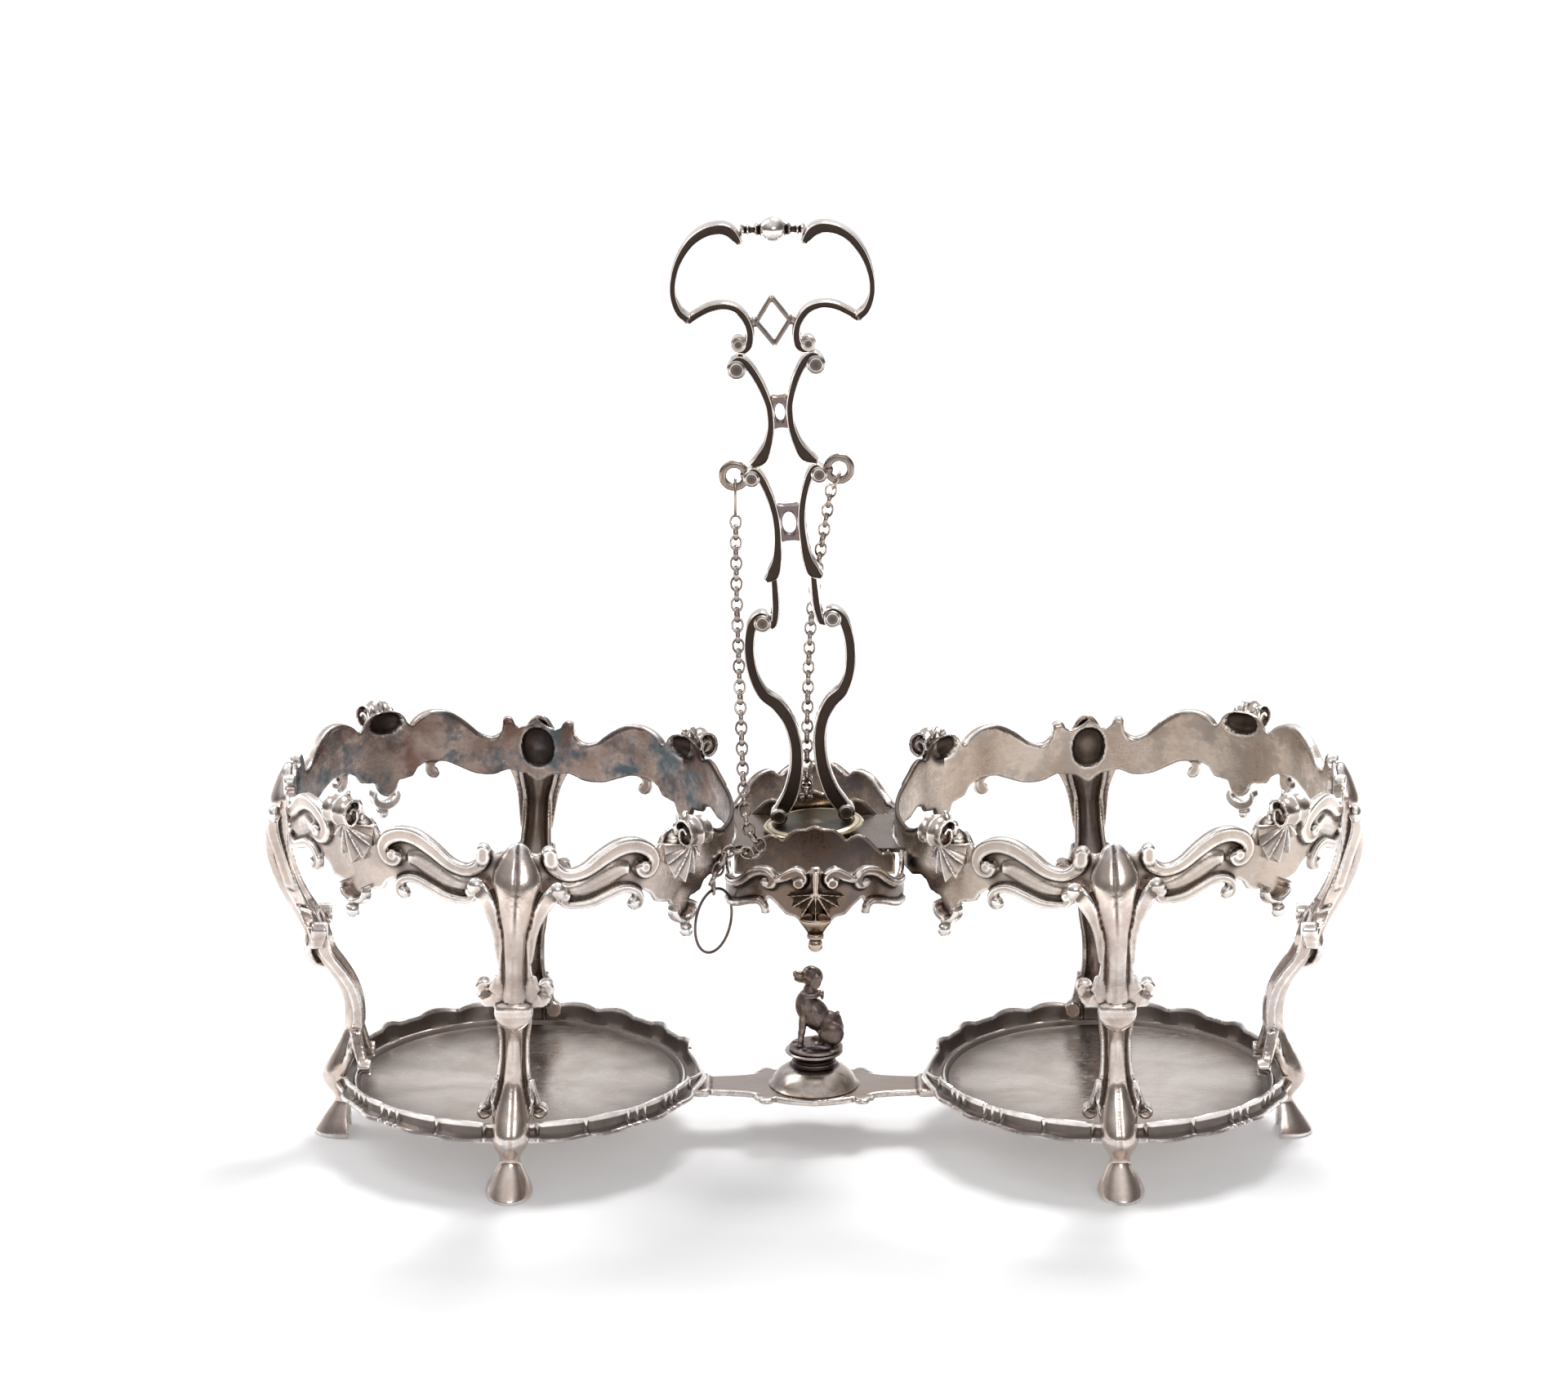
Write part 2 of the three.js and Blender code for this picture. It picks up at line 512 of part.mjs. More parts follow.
// Platform between the panels and the bottle rings; the handle's stud passes through it
const PLATFORM_SHEET = 1.2;
const STUD_RADIUS = 2;
const platformHalf = PANEL_Y - WALL / 2 - GAP;
const platformBlock = new THREE.BoxGeometry(60, 2 * platformHalf, PLATFORM_SHEET);
const ringClear = ringRadius(180) + WALL / 2 + 2.4 * GAP;
const ringCuts = [-1, 1].map((side) => {
  const round = new THREE.CylinderGeometry(ringClear, ringClear, 10, 72);
  return round.rotateX(Math.PI / 2).translate(side * RING_X, 0, 0);
});
const studHole = new THREE.CylinderGeometry(STUD_RADIUS + GAP, STUD_RADIUS + GAP, 10, 16);
const platform = cut(platformBlock, [...ringCuts, studHole.rotateX(Math.PI / 2).translate(FOOT_X, 0, 0)]);
add('handle_platform', platform.translate(0, 0, PLATFORM_TOP - PLATFORM_SHEET / 2), SILVER);

// Handle, built upright on its foot disc and then leaned
const handle = new THREE.Group();
handle.position.set(FOOT_X, 0, FOOT_Z);
handle.rotation.y = -HANDLE_LEAN * RAD;
stand.add(handle);

const studEnd = PLATFORM_TOP - FOOT_Z - 7;
add('handle_foot', new THREE.LatheGeometry([
  V2(0, studEnd), V2(STUD_RADIUS - 0.3, studEnd), V2(STUD_RADIUS - 0.3, -FOOT_SHEET),
  V2(FOOT_RADIUS - 1, -FOOT_SHEET), V2(FOOT_RADIUS, -FOOT_SHEET + 0.6), V2(FOOT_RADIUS - 0.6, -0.2),
  V2(FOOT_RADIUS - 2.4, 0), V2(0, 0),
], 28).rotateX(Math.PI / 2), SILVER, handle);

const NUT_RADIUS = 3.6;
const NUT_HEIGHT = 2.6;
const nutTop = PLATFORM_TOP - FOOT_Z - PLATFORM_SHEET - 0.7;
const nut = cut(
  new THREE.CylinderGeometry(NUT_RADIUS, NUT_RADIUS, NUT_HEIGHT, 6).rotateX(Math.PI / 2),
  [new THREE.CylinderGeometry(STUD_RADIUS, STUD_RADIUS, 8, 16).rotateX(Math.PI / 2)],
);
add('handle_nut', nut.translate(0, 0, nutTop - NUT_HEIGHT / 2), DARK_SILVER, handle);

// A bar of the given depth whose outline follows a line of [x, z, width] in the handle's plane
function scrollBar(line, depth) {
  const curve = new THREE.CatmullRomCurve3(line.map(([x, z, width]) => V3(x, z, width)));
  const steps = line.length + 1;
  const sides = [[], []];
  for (let i = 0; i <= steps; i += 1) {
    const at = curve.getPoint(i / steps);
    const along = curve.getTangent(i / steps);
    const across = V2(-along.y, along.x).normalize().multiplyScalar(at.z / 2);
    sides[0].push(V2(at.x + across.x, at.y + across.y));
    sides[1].unshift(V2(at.x - across.x, at.y - across.y));
  }
  const bevel = 0.5;
  const outline = new THREE.Shape([...sides[0], ...sides[1]]);
  const geometry = new THREE.ExtrudeGeometry(outline, {
    depth: depth - 2 * bevel, bevelSize: bevel * 0.6, bevelOffset: -bevel * 0.6,
    bevelThickness: bevel, bevelSegments: 1,
  });
  return geometry.translate(0, 0, -(depth / 2 - bevel)).rotateX(Math.PI / 2);
}

function boss(x, z, radius, depth) {
  return new THREE.CylinderGeometry(radius, radius, depth, 8).translate(x, 0, z);
}

const STEM_VOLUTE = 2.3;
const STEM_TOP = V2(10.2, 125.4); // middle of a stem's top volute

// Right-hand stem: upper scroll, middle scroll, link and lower scroll, each [x, z, width]
const UPPER_SCROLL = [[10.2, 126.2, 2.4], [8, 126.6, 2.2], [6.2, 124.4, 2], [4.4, 120.8, 2.1],
  [2.9, 115.8, 2.1], [2.5, 112.6, 2], [2.6, 108.6, 2.1], [3.8, 104, 2.4], [5.6, 100.6, 3], [7.8, 98.2, 2]];
const MIDDLE_SCROLL = [[8.2, 97, 2.4], [6.6, 96, 2.4], [4.9, 91.6, 2.2], [3.7, 86.6, 2.2], [3.3, 82, 2.2],
  [3.4, 77, 2.4], [3.9, 72.8, 2.8], [5, 69.2, 3.2], [6.6, 67.2, 1.8]];
const LINK_BAR = [[5.1, 68, 2], [5.2, 63, 2.2], [5.4, 59, 2.2], [7.2, 55.6, 2]];
const LOWER_SCROLL = [[7.6, 57.2, 2.4], [10, 58, 2.6], [12.4, 55, 3], [13.6, 48, 3], [12.8, 41.4, 3],
  [10.2, 36.2, 3], [6.8, 33, 3.4], [4.2, 28.4, 3.2], [3.1, 22, 3.2], [3.5, 15, 3.4], [5.2, 8.8, 3.8],
  [7.6, 4.8, 3.8], [9, 2.8, 3]];
const FOOT_VOLUTE = 2;
const stemRight = joined([
  scrollBar(UPPER_SCROLL, STEM_DEPTH), scrollBar(MIDDLE_SCROLL, STEM_DEPTH),
  scrollBar(LINK_BAR, STEM_DEPTH - 1), scrollBar(LOWER_SCROLL, STEM_DEPTH),
  boss(STEM_TOP.x, STEM_TOP.y, STEM_VOLUTE, STEM_DEPTH + 0.6), boss(8, 95.9, 1.7, STEM_DEPTH + 0.6),
  boss(8.7, 56.2, 2, STEM_DEPTH + 0.6), boss(9, GAP + FOOT_VOLUTE, FOOT_VOLUTE, STEM_DEPTH + 1.4),
]);
add('stem_right', stemRight, BRIGHT_SILVER, handle);
add('stem_left', mirroredX(stemRight), BRIGHT_SILVER, handle);

// Pierced ties that hold the two stems together
function tie(bottom, top, halfWidths, holeX, holeZ) {
  const [low, middle, high] = halfWidths;
  const centre = (bottom + top) / 2;
  const outline = new THREE.Shape([
    V2(-low, bottom), V2(low, bottom), V2(middle, centre), V2(high, top), V2(-high, top), V2(-middle, centre),
  ]);
  const hole = new THREE.Path();
  hole.absellipse(0, centre, holeX, holeZ, 0, 2 * Math.PI, true);
  outline.holes.push(hole);
  const depth = STEM_DEPTH - 1.6;
  const geometry = new THREE.ExtrudeGeometry(outline, { depth, bevelEnabled: false, curveSegments: 7 });
  return geometry.translate(0, 0, -depth / 2).rotateX(Math.PI / 2);
}
add('tie_upper', tie(108.4, 116.8, [1.25, 1.2, 1.5], 0.8, 2.5), SILVER, handle);
add('tie_lower', tie(77.6, 87.8, [1.85, 1.85, 2.5], 1.3, 3), SILVER, handle);

// Grip: two bowed bars from the bottom volutes to the turned bar at the top
const GRIP_LINE = [[9.4, 159.6, 2], [12, 162, 2.4], [15.6, 162.4, 2.6], [20.8, 159.2, 2.6], [24.4, 153.8, 2.4],
  [25.8, 148, 2.4], [25.3, 143.4, 2.4], [23, 139.4, 2.8]];
const GRIP_RETURN = [[23.4, 139.4, 2.6], [20.6, 139.6, 2.4], [16.8, 141.2, 2.2], [12.6, 141.6, 2.2],
  [9, 140.4, 2.4], [6.9, 137.4, 2.4], [6.8, 133.8, 2.4], [8.4, 130.9, 2.4]];
const gripRight = joined([
  scrollBar(GRIP_LINE, GRIP_DEPTH), scrollBar(GRIP_RETURN, GRIP_DEPTH - 2),
  boss(STEM_TOP.x - 0.3, STEM_TOP.y + 2 * STEM_VOLUTE + GAP, STEM_VOLUTE, STEM_DEPTH),
]);
add('grip_right', gripRight, BRIGHT_SILVER, handle);
add('grip_left', mirroredX(gripRight), BRIGHT_SILVER, handle);

// Turned bar with a ball in the middle of the grip
const BAR_Z = 160.4;
const BALL_RADIUS = 3.4;
add('grip_bar', new THREE.LatheGeometry([
  V2(0, -8.1), V2(1.5, -8.1), V2(1.7, -7), V2(1, -6.2), V2(1, -5.2), V2(1.7, -4.4), V2(1.2, -3.6),
  V2(2.6, -2.4), V2(BALL_RADIUS, 0), V2(2.6, 2.4), V2(1.2, 3.6), V2(1.7, 4.4), V2(1, 5.2), V2(1, 6.2),
  V2(1.7, 7), V2(1.5, 8.1), V2(0, 8.1),
], 14).rotateZ(-Math.PI / 2).translate(0, 0, BAR_Z), BRIGHT_SILVER, handle);

// Open diamond between the two halves of the grip
const diamondZ = (STEM_TOP.y + BAR_Z) / 2 - 5.7;
const DIAMOND_HALF = 5.2;
const DIAMOND_HEIGHT = 6.6;
const DIAMOND_BAR = 0.75; // share of the outline left open
const diamondShape = (k) => [V2(0, -DIAMOND_HEIGHT * k), V2(DIAMOND_HALF * k, 0), V2(0, DIAMOND_HEIGHT * k),
  V2(-DIAMOND_HALF * k, 0)];
const diamondOutline = new THREE.Shape(diamondShape(1));
diamondOutline.holes.push(new THREE.Path(diamondShape(DIAMOND_BAR).reverse()));
const diamond = new THREE.ExtrudeGeometry(diamondOutline, { depth: 3, bevelEnabled: false });
add('grip_diamond', diamond.translate(0, diamondZ, -1.5).rotateX(Math.PI / 2), SILVER, handle);

// Chain eyes on the outsides of the stems
[['right', 1], ['left', -1]].forEach(([name, side]) => {
  const eye = new THREE.TorusGeometry(EYE_RADIUS, EYE_WIRE, 8, 16).rotateX(Math.PI / 2);
  add(`eye_${name}`, eye.translate(side * EYE_X, 0, EYE_Z), SILVER, handle);
});

// Chains: round belcher links, each a quarter turn from the next
handle.updateMatrix();
const fromHandle = (x, y, z) => V3(x, y, z).applyMatrix4(handle.matrix);

function linkGeometry() {
  const sides = 6;
  const ring = (radius) => Array.from({ length: sides }, (_, i) => {
    const a = ((i + 0.5) / sides) * 2 * Math.PI;
    return V2(radius * Math.cos(a), radius * Math.sin(a));
  });
  const outline = new THREE.Shape(ring(LINK_RADIUS + LINK_BAND / 2));
  outline.holes.push(new THREE.Path(ring(LINK_RADIUS - LINK_BAND / 2).reverse()));
  const link = new THREE.ExtrudeGeometry(outline, { depth: LINK_WIDTH, bevelEnabled: false });
  return link.translate(0, 0, -LINK_WIDTH / 2);
}

function chain(route) {
  const curve = new THREE.CatmullRomCurve3(route.map(([x, y, z]) => V3(x, y, z)), false, 'centripetal');
  const count = Math.round(curve.getLength() / LINK_PITCH);
  const links = Array.from({ length: count + 1 }, (_, i) => {
    const at = curve.getPointAt(i / count);
    const along = curve.getTangentAt(i / count);
    const helper = new THREE.Object3D();
    helper.up.set(0, 1, 0);
    const across = V3(0, 1, 0).cross(along).normalize();
    const third = along.clone().cross(across);
    const facing = i % 2 === 0 ? [along, across, third] : [along, third, across.clone().negate()];
    const turn = new THREE.Matrix4().makeBasis(...facing).setPosition(at);
    return linkGeometry().applyMatrix4(turn);
  });
  return joined(links);
}

function jumpRing(centre, radius, normal) {
  const side = V3(0, 0, 1).cross(normal).normalize();
  if (side.lengthSq() < 0.5) side.set(1, 0, 0);
  const up = normal.clone().cross(side);
  const points = Array.from({ length: 12 }, (_, i) => {
    const a = (i / 12) * 2 * Math.PI;
    return centre.clone().addScaledVector(side, radius * Math.cos(a)).addScaledVector(up, radius * Math.sin(a));
  });
  return wireLoop(points, HOOK_WIRE, 5);
}

// Left chain: a long hook link on the eye, the chain, and a ring with the wire loop
const HOOK_LENGTH = 9.4;
const LOOP_RING = 2; // radius of the ring between a chain's last link and its wire loop
const ringBelowHoopTop = LOOP_RING - LOOP_WIRE - HOOK_WIRE - GAP; // its middle above the loop's top
const linkAboveRing = LOOP_RING + GAP / 2; // last link's middle above the middle of that ring
const LOOP_YAW = 56.7; // degrees that the left loop is turned from facing the front
const RING_YAW = 8; // and its ring
const LOOP_ASIDE = 5.55; // the left loop hangs this far in from the bottle ring's wall
const loopDepth = STOPPER_CENTRE + 16.2;
const loopLeftTop = V3(LOOP_ASIDE - besideRing(loopDepth), -loopDepth, 81.9);
const loopRightTop = V3(-2.1, 28, 86.4);
const ringLeftCentre = loopLeftTop.clone().add(V3(0, 0, ringBelowHoopTop));
const ringRightCentre = loopRightTop.clone().add(V3(0, -1.4, ringBelowHoopTop));
const eyeLeft = fromHandle(-EYE_X, 0, EYE_Z - EYE_RADIUS);
const hookPoints = Array.from({ length: 14 }, (_, i) => {
  const a = (i / 14) * 2 * Math.PI;
  return V3(0, 1.9 * Math.sin(a), (HOOK_LENGTH / 2) * Math.cos(a));
});
const hookLeft = wireLoop(hookPoints, HOOK_WIRE, 5);
const hookTop = eyeLeft.z + EYE_WIRE + 1.6 * GAP + HOOK_WIRE;
hookLeft.translate(eyeLeft.x, 0, hookTop - HOOK_LENGTH / 2);
add('hook_left', hookLeft, CHAIN_SILVER);

const hookEnd = hookTop - HOOK_LENGTH;
const byLoop = (x, y, z) => [loopLeftTop.x + x, loopLeftTop.y + y, z];
const LEFT_ROUTE = [ // down from the eye, then heaped on the stopper ring beside the loop
  [eyeLeft.x + 0.1, -0.6, hookEnd - 2], [-20, -8, 152], [-19.2, -18, 126], byLoop(8.2, 8.2, 102.5),
  byLoop(9.4, 4.2, 96.6), byLoop(12.2, 2.2, 93.4), byLoop(11.4, 0.7, 91.2), byLoop(8.6, 1.2, 91.8),
  byLoop(5.6, 2.6, 92.2), byLoop(3.2, 2.2, 90.6), byLoop(0, 0, ringLeftCentre.z + linkAboveRing),
];
add('chain_left', chain(LEFT_ROUTE), CHAIN_SILVER);

function wireHoop(top, yaw) {
  const points = Array.from({ length: 24 }, (_, i) => {
    const a = (i / 24) * 2 * Math.PI;
    const across = LOOP_RADIUS * Math.sin(a);
    return V3(top.x - across * Math.cos(yaw * RAD), top.y - across * Math.sin(yaw * RAD),
      top.z - LOOP_RADIUS + LOOP_RADIUS * Math.cos(a));
  });
  return wireLoop(points, LOOP_WIRE, 5);
}

const ringFacing = V3(Math.cos(RING_YAW * RAD), Math.sin(RING_YAW * RAD), 0);
add('loop_ring_left', jumpRing(ringLeftCentre, LOOP_RING, ringFacing), CHAIN_SILVER);
add('loop_left', wireHoop(loopLeftTop, LOOP_YAW), DARK_SILVER);

// Right chain: a ring on the eye, the chain behind the stem, over the rear panel, and its loop
const HANG_ANGLE = 245; // where the ring hangs on the right eye
const eyeHang = fromHandle(EYE_X + EYE_RADIUS * Math.cos(HANG_ANGLE * RAD), 0,
  EYE_Z + EYE_RADIUS * Math.sin(HANG_ANGLE * RAD));
const hangWay = V3(-Math.sin(HANG_ANGLE * RAD), 0, Math.cos(HANG_ANGLE * RAD));
const outWay = V3(Math.cos(HANG_ANGLE * RAD), 0, Math.sin(HANG_ANGLE * RAD));
const ringRight = 2.3;
const hookRightCentre = eyeHang.clone().addScaledVector(outWay, ringRight - EYE_WIRE - HOOK_WIRE - GAP);
hookRightCentre.y += 0.5;
add('hook_right', jumpRing(hookRightCentre, ringRight, hangWay), CHAIN_SILVER);

const BEHIND = 5; // the right chain hangs this far behind the handle's plane
const RIGHT_ROUTE = [
  [4.2, BEHIND - 0.6, 178.6], [2.8, BEHIND, 170], [0.6, BEHIND, 156], [-1.2, BEHIND, 140], [-1.9, BEHIND, 118],
  [-2.1, BEHIND, 98], [-2.1, BEHIND + 1.6, 93.4], [-2.1, 10, 93], [-2.1, 15.4, 95.2], [-2.1, 20.6, 94.8],
  [ringRightCentre.x, ringRightCentre.y, ringRightCentre.z + linkAboveRing],
];
add('chain_right', chain(RIGHT_ROUTE), CHAIN_SILVER);
add('loop_ring_right', jumpRing(ringRightCentre, LOOP_RING, V3(0, 1, 0)), CHAIN_SILVER);
add('loop_right', wireHoop(loopRightTop, 90), DARK_SILVER);

export default stand;
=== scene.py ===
"""Looks of a cast silver cruet stand: bottle rings, legs, plates, dog, stopper rings, handle and chains."""

import math

import bmesh
import bpy
import numpy as np
from mathutils import Matrix


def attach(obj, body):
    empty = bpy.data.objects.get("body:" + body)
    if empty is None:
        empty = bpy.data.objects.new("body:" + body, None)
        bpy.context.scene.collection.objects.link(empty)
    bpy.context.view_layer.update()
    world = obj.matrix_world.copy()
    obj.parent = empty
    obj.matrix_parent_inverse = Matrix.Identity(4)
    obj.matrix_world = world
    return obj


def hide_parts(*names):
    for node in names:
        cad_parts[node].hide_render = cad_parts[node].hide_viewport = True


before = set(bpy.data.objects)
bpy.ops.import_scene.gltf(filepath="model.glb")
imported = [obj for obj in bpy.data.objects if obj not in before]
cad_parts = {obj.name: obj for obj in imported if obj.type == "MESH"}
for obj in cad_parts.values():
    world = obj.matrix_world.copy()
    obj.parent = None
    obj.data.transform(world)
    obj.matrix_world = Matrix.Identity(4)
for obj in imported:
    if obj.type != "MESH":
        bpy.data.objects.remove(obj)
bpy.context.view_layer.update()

# Colours and node materials. Old silver: bright where it is rubbed, pinkish grey on the open faces,
# brown-black in the hollows, partly sulphide and partly painted shade, with faint stains over all of it.

def srgb(text):
    channels = [int(text[i:i + 2], 16) / 255 for i in (1, 3, 5)]
    return [c / 12.92 if c <= 0.04045 else ((c + 0.055) / 1.055) ** 2.4 for c in channels] + [1.0]


def add_node(tree, kind, links=None, **settings):
    """A node with its settings; links give each input a socket or a value."""
    node = tree.nodes.new(kind)
    for key, value in settings.items():
        setattr(node, key, value)
    for key, value in (links or {}).items():
        if isinstance(value, bpy.types.NodeSocket):
            tree.links.new(value, node.inputs[key])
        else:
            node.inputs[key].default_value = value
    return node


def ramp(tree, factor, low, high):
    links = {0: factor, 1: low, 2: high}
    return add_node(tree, "ShaderNodeMapRange", links, interpolation_type="SMOOTHSTEP").outputs[0]


def maths(tree, operation, a, b=0.0):
    return add_node(tree, "ShaderNodeMath", {0: a, 1: b}, operation=operation).outputs[0]


def times(tree, a, b):
    return maths(tree, "MULTIPLY", a, b)


def plus(tree, a, b):
    return maths(tree, "ADD", a, b)


def swing(tree, texture, size):
    """How far a texture is from its middle, times size."""
    return times(tree, maths(tree, "SUBTRACT", texture, 0.5), size)


def mix(tree, factor, a, b):
    node = add_node(tree, "ShaderNodeMix", {0: factor, 6: a, 7: b}, data_type="RGBA")
    return node.outputs[2]


def noise(tree, vector, size_mm, detail=3.0, rough=0.55, twist=0.0):
    links = {"Vector": vector, "Scale": 1000 / size_mm, "Detail": detail, "Roughness": rough,
             "Distortion": twist}
    return add_node(tree, "ShaderNodeTexNoise", links).outputs[0]


def field(tree, name):
    """A value stored on the mesh, such as how hollow it is at a point."""
    return add_node(tree, "ShaderNodeAttribute", attribute_name=name).outputs["Fac"]


def silver(name, bright, middle, dark, tarnish_and_shade=1.0, gloss=0.2, stains=0.5, grain=None,
           tints=("#6f6a78", "#8a7458"), inner=0.0, fineness=1.0):
    """Tarnished silver in three tones, with two tints of stain.

    The mesh attributes relief and broad are above zero in hollows and below zero on edges; inside marks
    the inner faces of the walls, and one more attribute darkens grooves, creases and hollows with painted
    shade and tarnish. Fineness above 1 suits pieces with small relief.
    """
    material = bpy.data.materials.new(name)
    material.use_nodes = True
    tree = material.node_tree
    tree.nodes.clear()
    place = add_node(tree, "ShaderNodeTexCoord").outputs["Object"]
    relief = times(tree, field(tree, "relief"), fineness)
    inside = field(tree, "inside")
    patches = noise(tree, place, 11, 4, 0.6, 0.4)
    fine = noise(tree, place, 1.6, 4, 0.62)
    specks = noise(tree, place, 0.55, 2, 0.5)

    edge = ramp(tree, times(tree, relief, -1), 0.012, 0.075)
    # Hollows, fine and broad, and the marked faces darken: partly tarnish, partly painted shade.
    hollow = ramp(tree, plus(tree, relief, swing(tree, fine, 0.05)), 0.012, 0.085)
    deep = maths(tree, "MAXIMUM", ramp(tree, field(tree, "broad"), 0.06, 0.55), field(tree, "marked_shade_and_tarnish"))
    hollow_tarnish_and_shade = times(tree, maths(tree, "MAXIMUM", hollow, deep), tarnish_and_shade)
    amount = plus(tree, stains, times(tree, inside, inner))
    clouds = plus(tree, patches, times(tree, fine, 0.3))
    film = times(tree, ramp(tree, clouds, 0.55, 0.82), amount)
    warm = times(tree, ramp(tree, noise(tree, place, 19, 4, 0.55, 0.8), 0.38, 0.72), amount)
    pits = times(tree, ramp(tree, specks, 0.66, 0.8), 0.35 * tarnish_and_shade)

    colour = mix(tree, edge, srgb(middle), srgb(bright))
    colour = mix(tree, times(tree, inside, inner * 0.7), colour, srgb(tints[1]))
    colour = mix(tree, film, colour, srgb(tints[0]))
    colour = mix(tree, warm, colour, srgb(tints[1]))
    # Painted shade and tarnish darken the hollows; after that come dark pits.
    colour = mix(tree, maths(tree, "MINIMUM", hollow_tarnish_and_shade, 0.94), colour, srgb(dark))
    colour = mix(tree, pits, colour, srgb(dark))

    rough = plus(tree, gloss, times(tree, plus(tree, hollow_tarnish_and_shade, film), 0.2))
    rough = plus(tree, rough, swing(tree, fine, 0.16))
    height = plus(tree, times(tree, fine, 0.6), times(tree, specks, 0.25))
    if grain:
        stretched = add_node(tree, "ShaderNodeMapping", {"Vector": place, "Scale": grain}).outputs[0]
        lines = noise(tree, stretched, 1.1, 3, 0.6)
        height = plus(tree, height, times(tree, lines, 0.8))
        rough = plus(tree, rough, swing(tree, lines, 0.25))
    bump = add_node(tree, "ShaderNodeBump", {"Strength": 0.35, "Distance": 0.00012, "Height": height})
    links = {"Base Color": colour, "Metallic": 1.0, "Roughness": rough, "Normal": bump.outputs[0]}
    shader = add_node(tree, "ShaderNodeBsdfPrincipled", links)
    add_node(tree, "ShaderNodeOutputMaterial", {"Surface": shader.outputs[0]})
    return material


CAST = silver("cast_silver", "#fbf8f5", "#dccec4", "#463a34", gloss=0.19, stains=0.4,
              tints=("#8f8789", "#a98c7a"))
# A darker copy of the cast silver for the rear legs: painted shade.
SHADED_REAR = silver("shaded_rear_cast_silver", "#b9aea5", "#a5988e", "#4a403a", tarnish_and_shade=0.9, gloss=0.22, stains=0.5)
SHELL = silver("shell_silver", "#fbf8f5", "#c6bab1", "#574b45", tarnish_and_shade=0.75, gloss=0.2, stains=0.3,
               fineness=1.6)
WALLS = {
    "right": silver("wall_silver", "#f8f4ef", "#bbaea3", "#453a34", tarnish_and_shade=0.95, gloss=0.24, stains=0.35,
                    grain=(0.22, 0.22, 1.0), tints=("#9a918b", "#a08b78"), inner=0.3),
    "left": silver("stained_wall_silver", "#f8f3ee", "#bfb1a8", "#40352f", tarnish_and_shade=0.95, gloss=0.25, stains=0.25,
                   grain=(0.3, 0.3, 1.0), tints=("#59646a", "#6b5247"), inner=0.8),
}
SHEET = silver("sheet_silver", "#fbf8f5", "#e2d8d1", "#4f443e", tarnish_and_shade=0.85, gloss=0.19, stains=0.35,
               grain=(0.2, 1.0, 1.0), tints=("#aea5a2", "#a08874"))
BRIDGE = silver("bridge_silver", "#f4ede8", "#a3968e", "#463b35", gloss=0.22, stains=0.5,
                grain=(0.2, 1.0, 1.0), tints=("#8d8583", "#8d7766"))
TURNED = silver("turned_silver", "#c4b9af", "#5a4e46", "#332a25", tarnish_and_shade=0.7, gloss=0.2, stains=0.5)
BALL = silver("ball_silver", "#f2ebe6", "#b3a79e", "#332923", gloss=0.12, stains=0.3)
HANDLE = silver("handle_silver", "#eee6df", "#776a62", "#332a25", tarnish_and_shade=0.95, gloss=0.15, stains=0.35)
DARK = silver("dark_silver", "#a99b8f", "#6a5c54", "#291f1b", gloss=0.28, stains=0.5)
CHAIN = silver("chain_silver", "#b0a49b", "#665a52", "#2d2420", gloss=0.22, stains=0.4)
WIRE = silver("wire_silver", "#665b54", "#443a34", "#241d1a", gloss=0.3, stains=0.3)
CUP_SHELL = silver("stopper_shell_silver", "#d3c0b0", "#7a6b60", "#2b211d", gloss=0.2, stains=0.4,
                   fineness=1.6)
STOPPER = silver("stopper_silver", "#e8ded6", "#75675e", "#2b211d", tarnish_and_shade=1.1, gloss=0.23, stains=0.6,
                 grain=(0.25, 0.25, 1.0), tints=("#54565c", "#6e5646"))
PANEL = silver("panel_silver", "#b5a799", "#65574e", "#322823", gloss=0.26, stains=0.6,
               grain=(1.0, 1.0, 0.25), tints=("#524f54", "#65503e"))
GILT = silver("foot_silver", "#e0d3b2", "#97846f", "#38301f", gloss=0.18, stains=0.4)


# Shape helpers. A bit is an array of points in millimetres and a list of faces; the flat pieces
# are drawn as seen from the front, x to the right and z up, with the relief towards -y.

def smooth_line(points, step):
    """Points along a smooth curve through given ones; extra columns are carried along."""
    p = [np.array(q, float) for q in points]
    p = [2 * p[0] - p[1], *p, 2 * p[-1] - p[-2]]
    line = []
    for a, b, c, d in zip(p, p[1:], p[2:], p[3:]):
        count = max(1, math.ceil(np.linalg.norm((c - b)[:2]) / step))
        for t in np.arange(count) / count:
            line.append(0.5 * (2 * b + (c - a) * t + (2 * a - 5 * b + 4 * c - d) * t ** 2
                               + (3 * b - a - 3 * c + d) * t ** 3))
    line.append(p[-2])
    return np.array(line)


def directions(points):
    """Unit vectors along a row of points."""
    along = np.gradient(points, axis=0)
    return along / np.linalg.norm(along, axis=1)[:, None]


def full_turn(count):
    """Even angles round a circle, in radians."""
    return np.linspace(0, 2 * math.pi, count, endpoint=False)


def loft(rings, closed=False):
    """Joins rings of points into a tube; it is capped at its ends unless it closes on itself."""
    rings = np.array(rings, float)
    rows, size = rings.shape[:2]
    faces = []
    for row in range(rows if closed else rows - 1):
        a, b = row * size, (row + 1) % rows * size
        faces += [(a + i, a + (i + 1) % size, b + (i + 1) % size, b + i) for i in range(size)]
    if not closed:
        faces += [tuple(range(size))[::-1], tuple(range((rows - 1) * size, rows * size))]
    return rings.reshape(-1, 3), faces


def merged(bits):
    points, faces, start = [], [], 0
    for verts, quads in bits:
        points.append(verts)
        faces += [tuple(i + start for i in face) for face in quads]
        start += len(verts)
    return np.vstack(points), faces


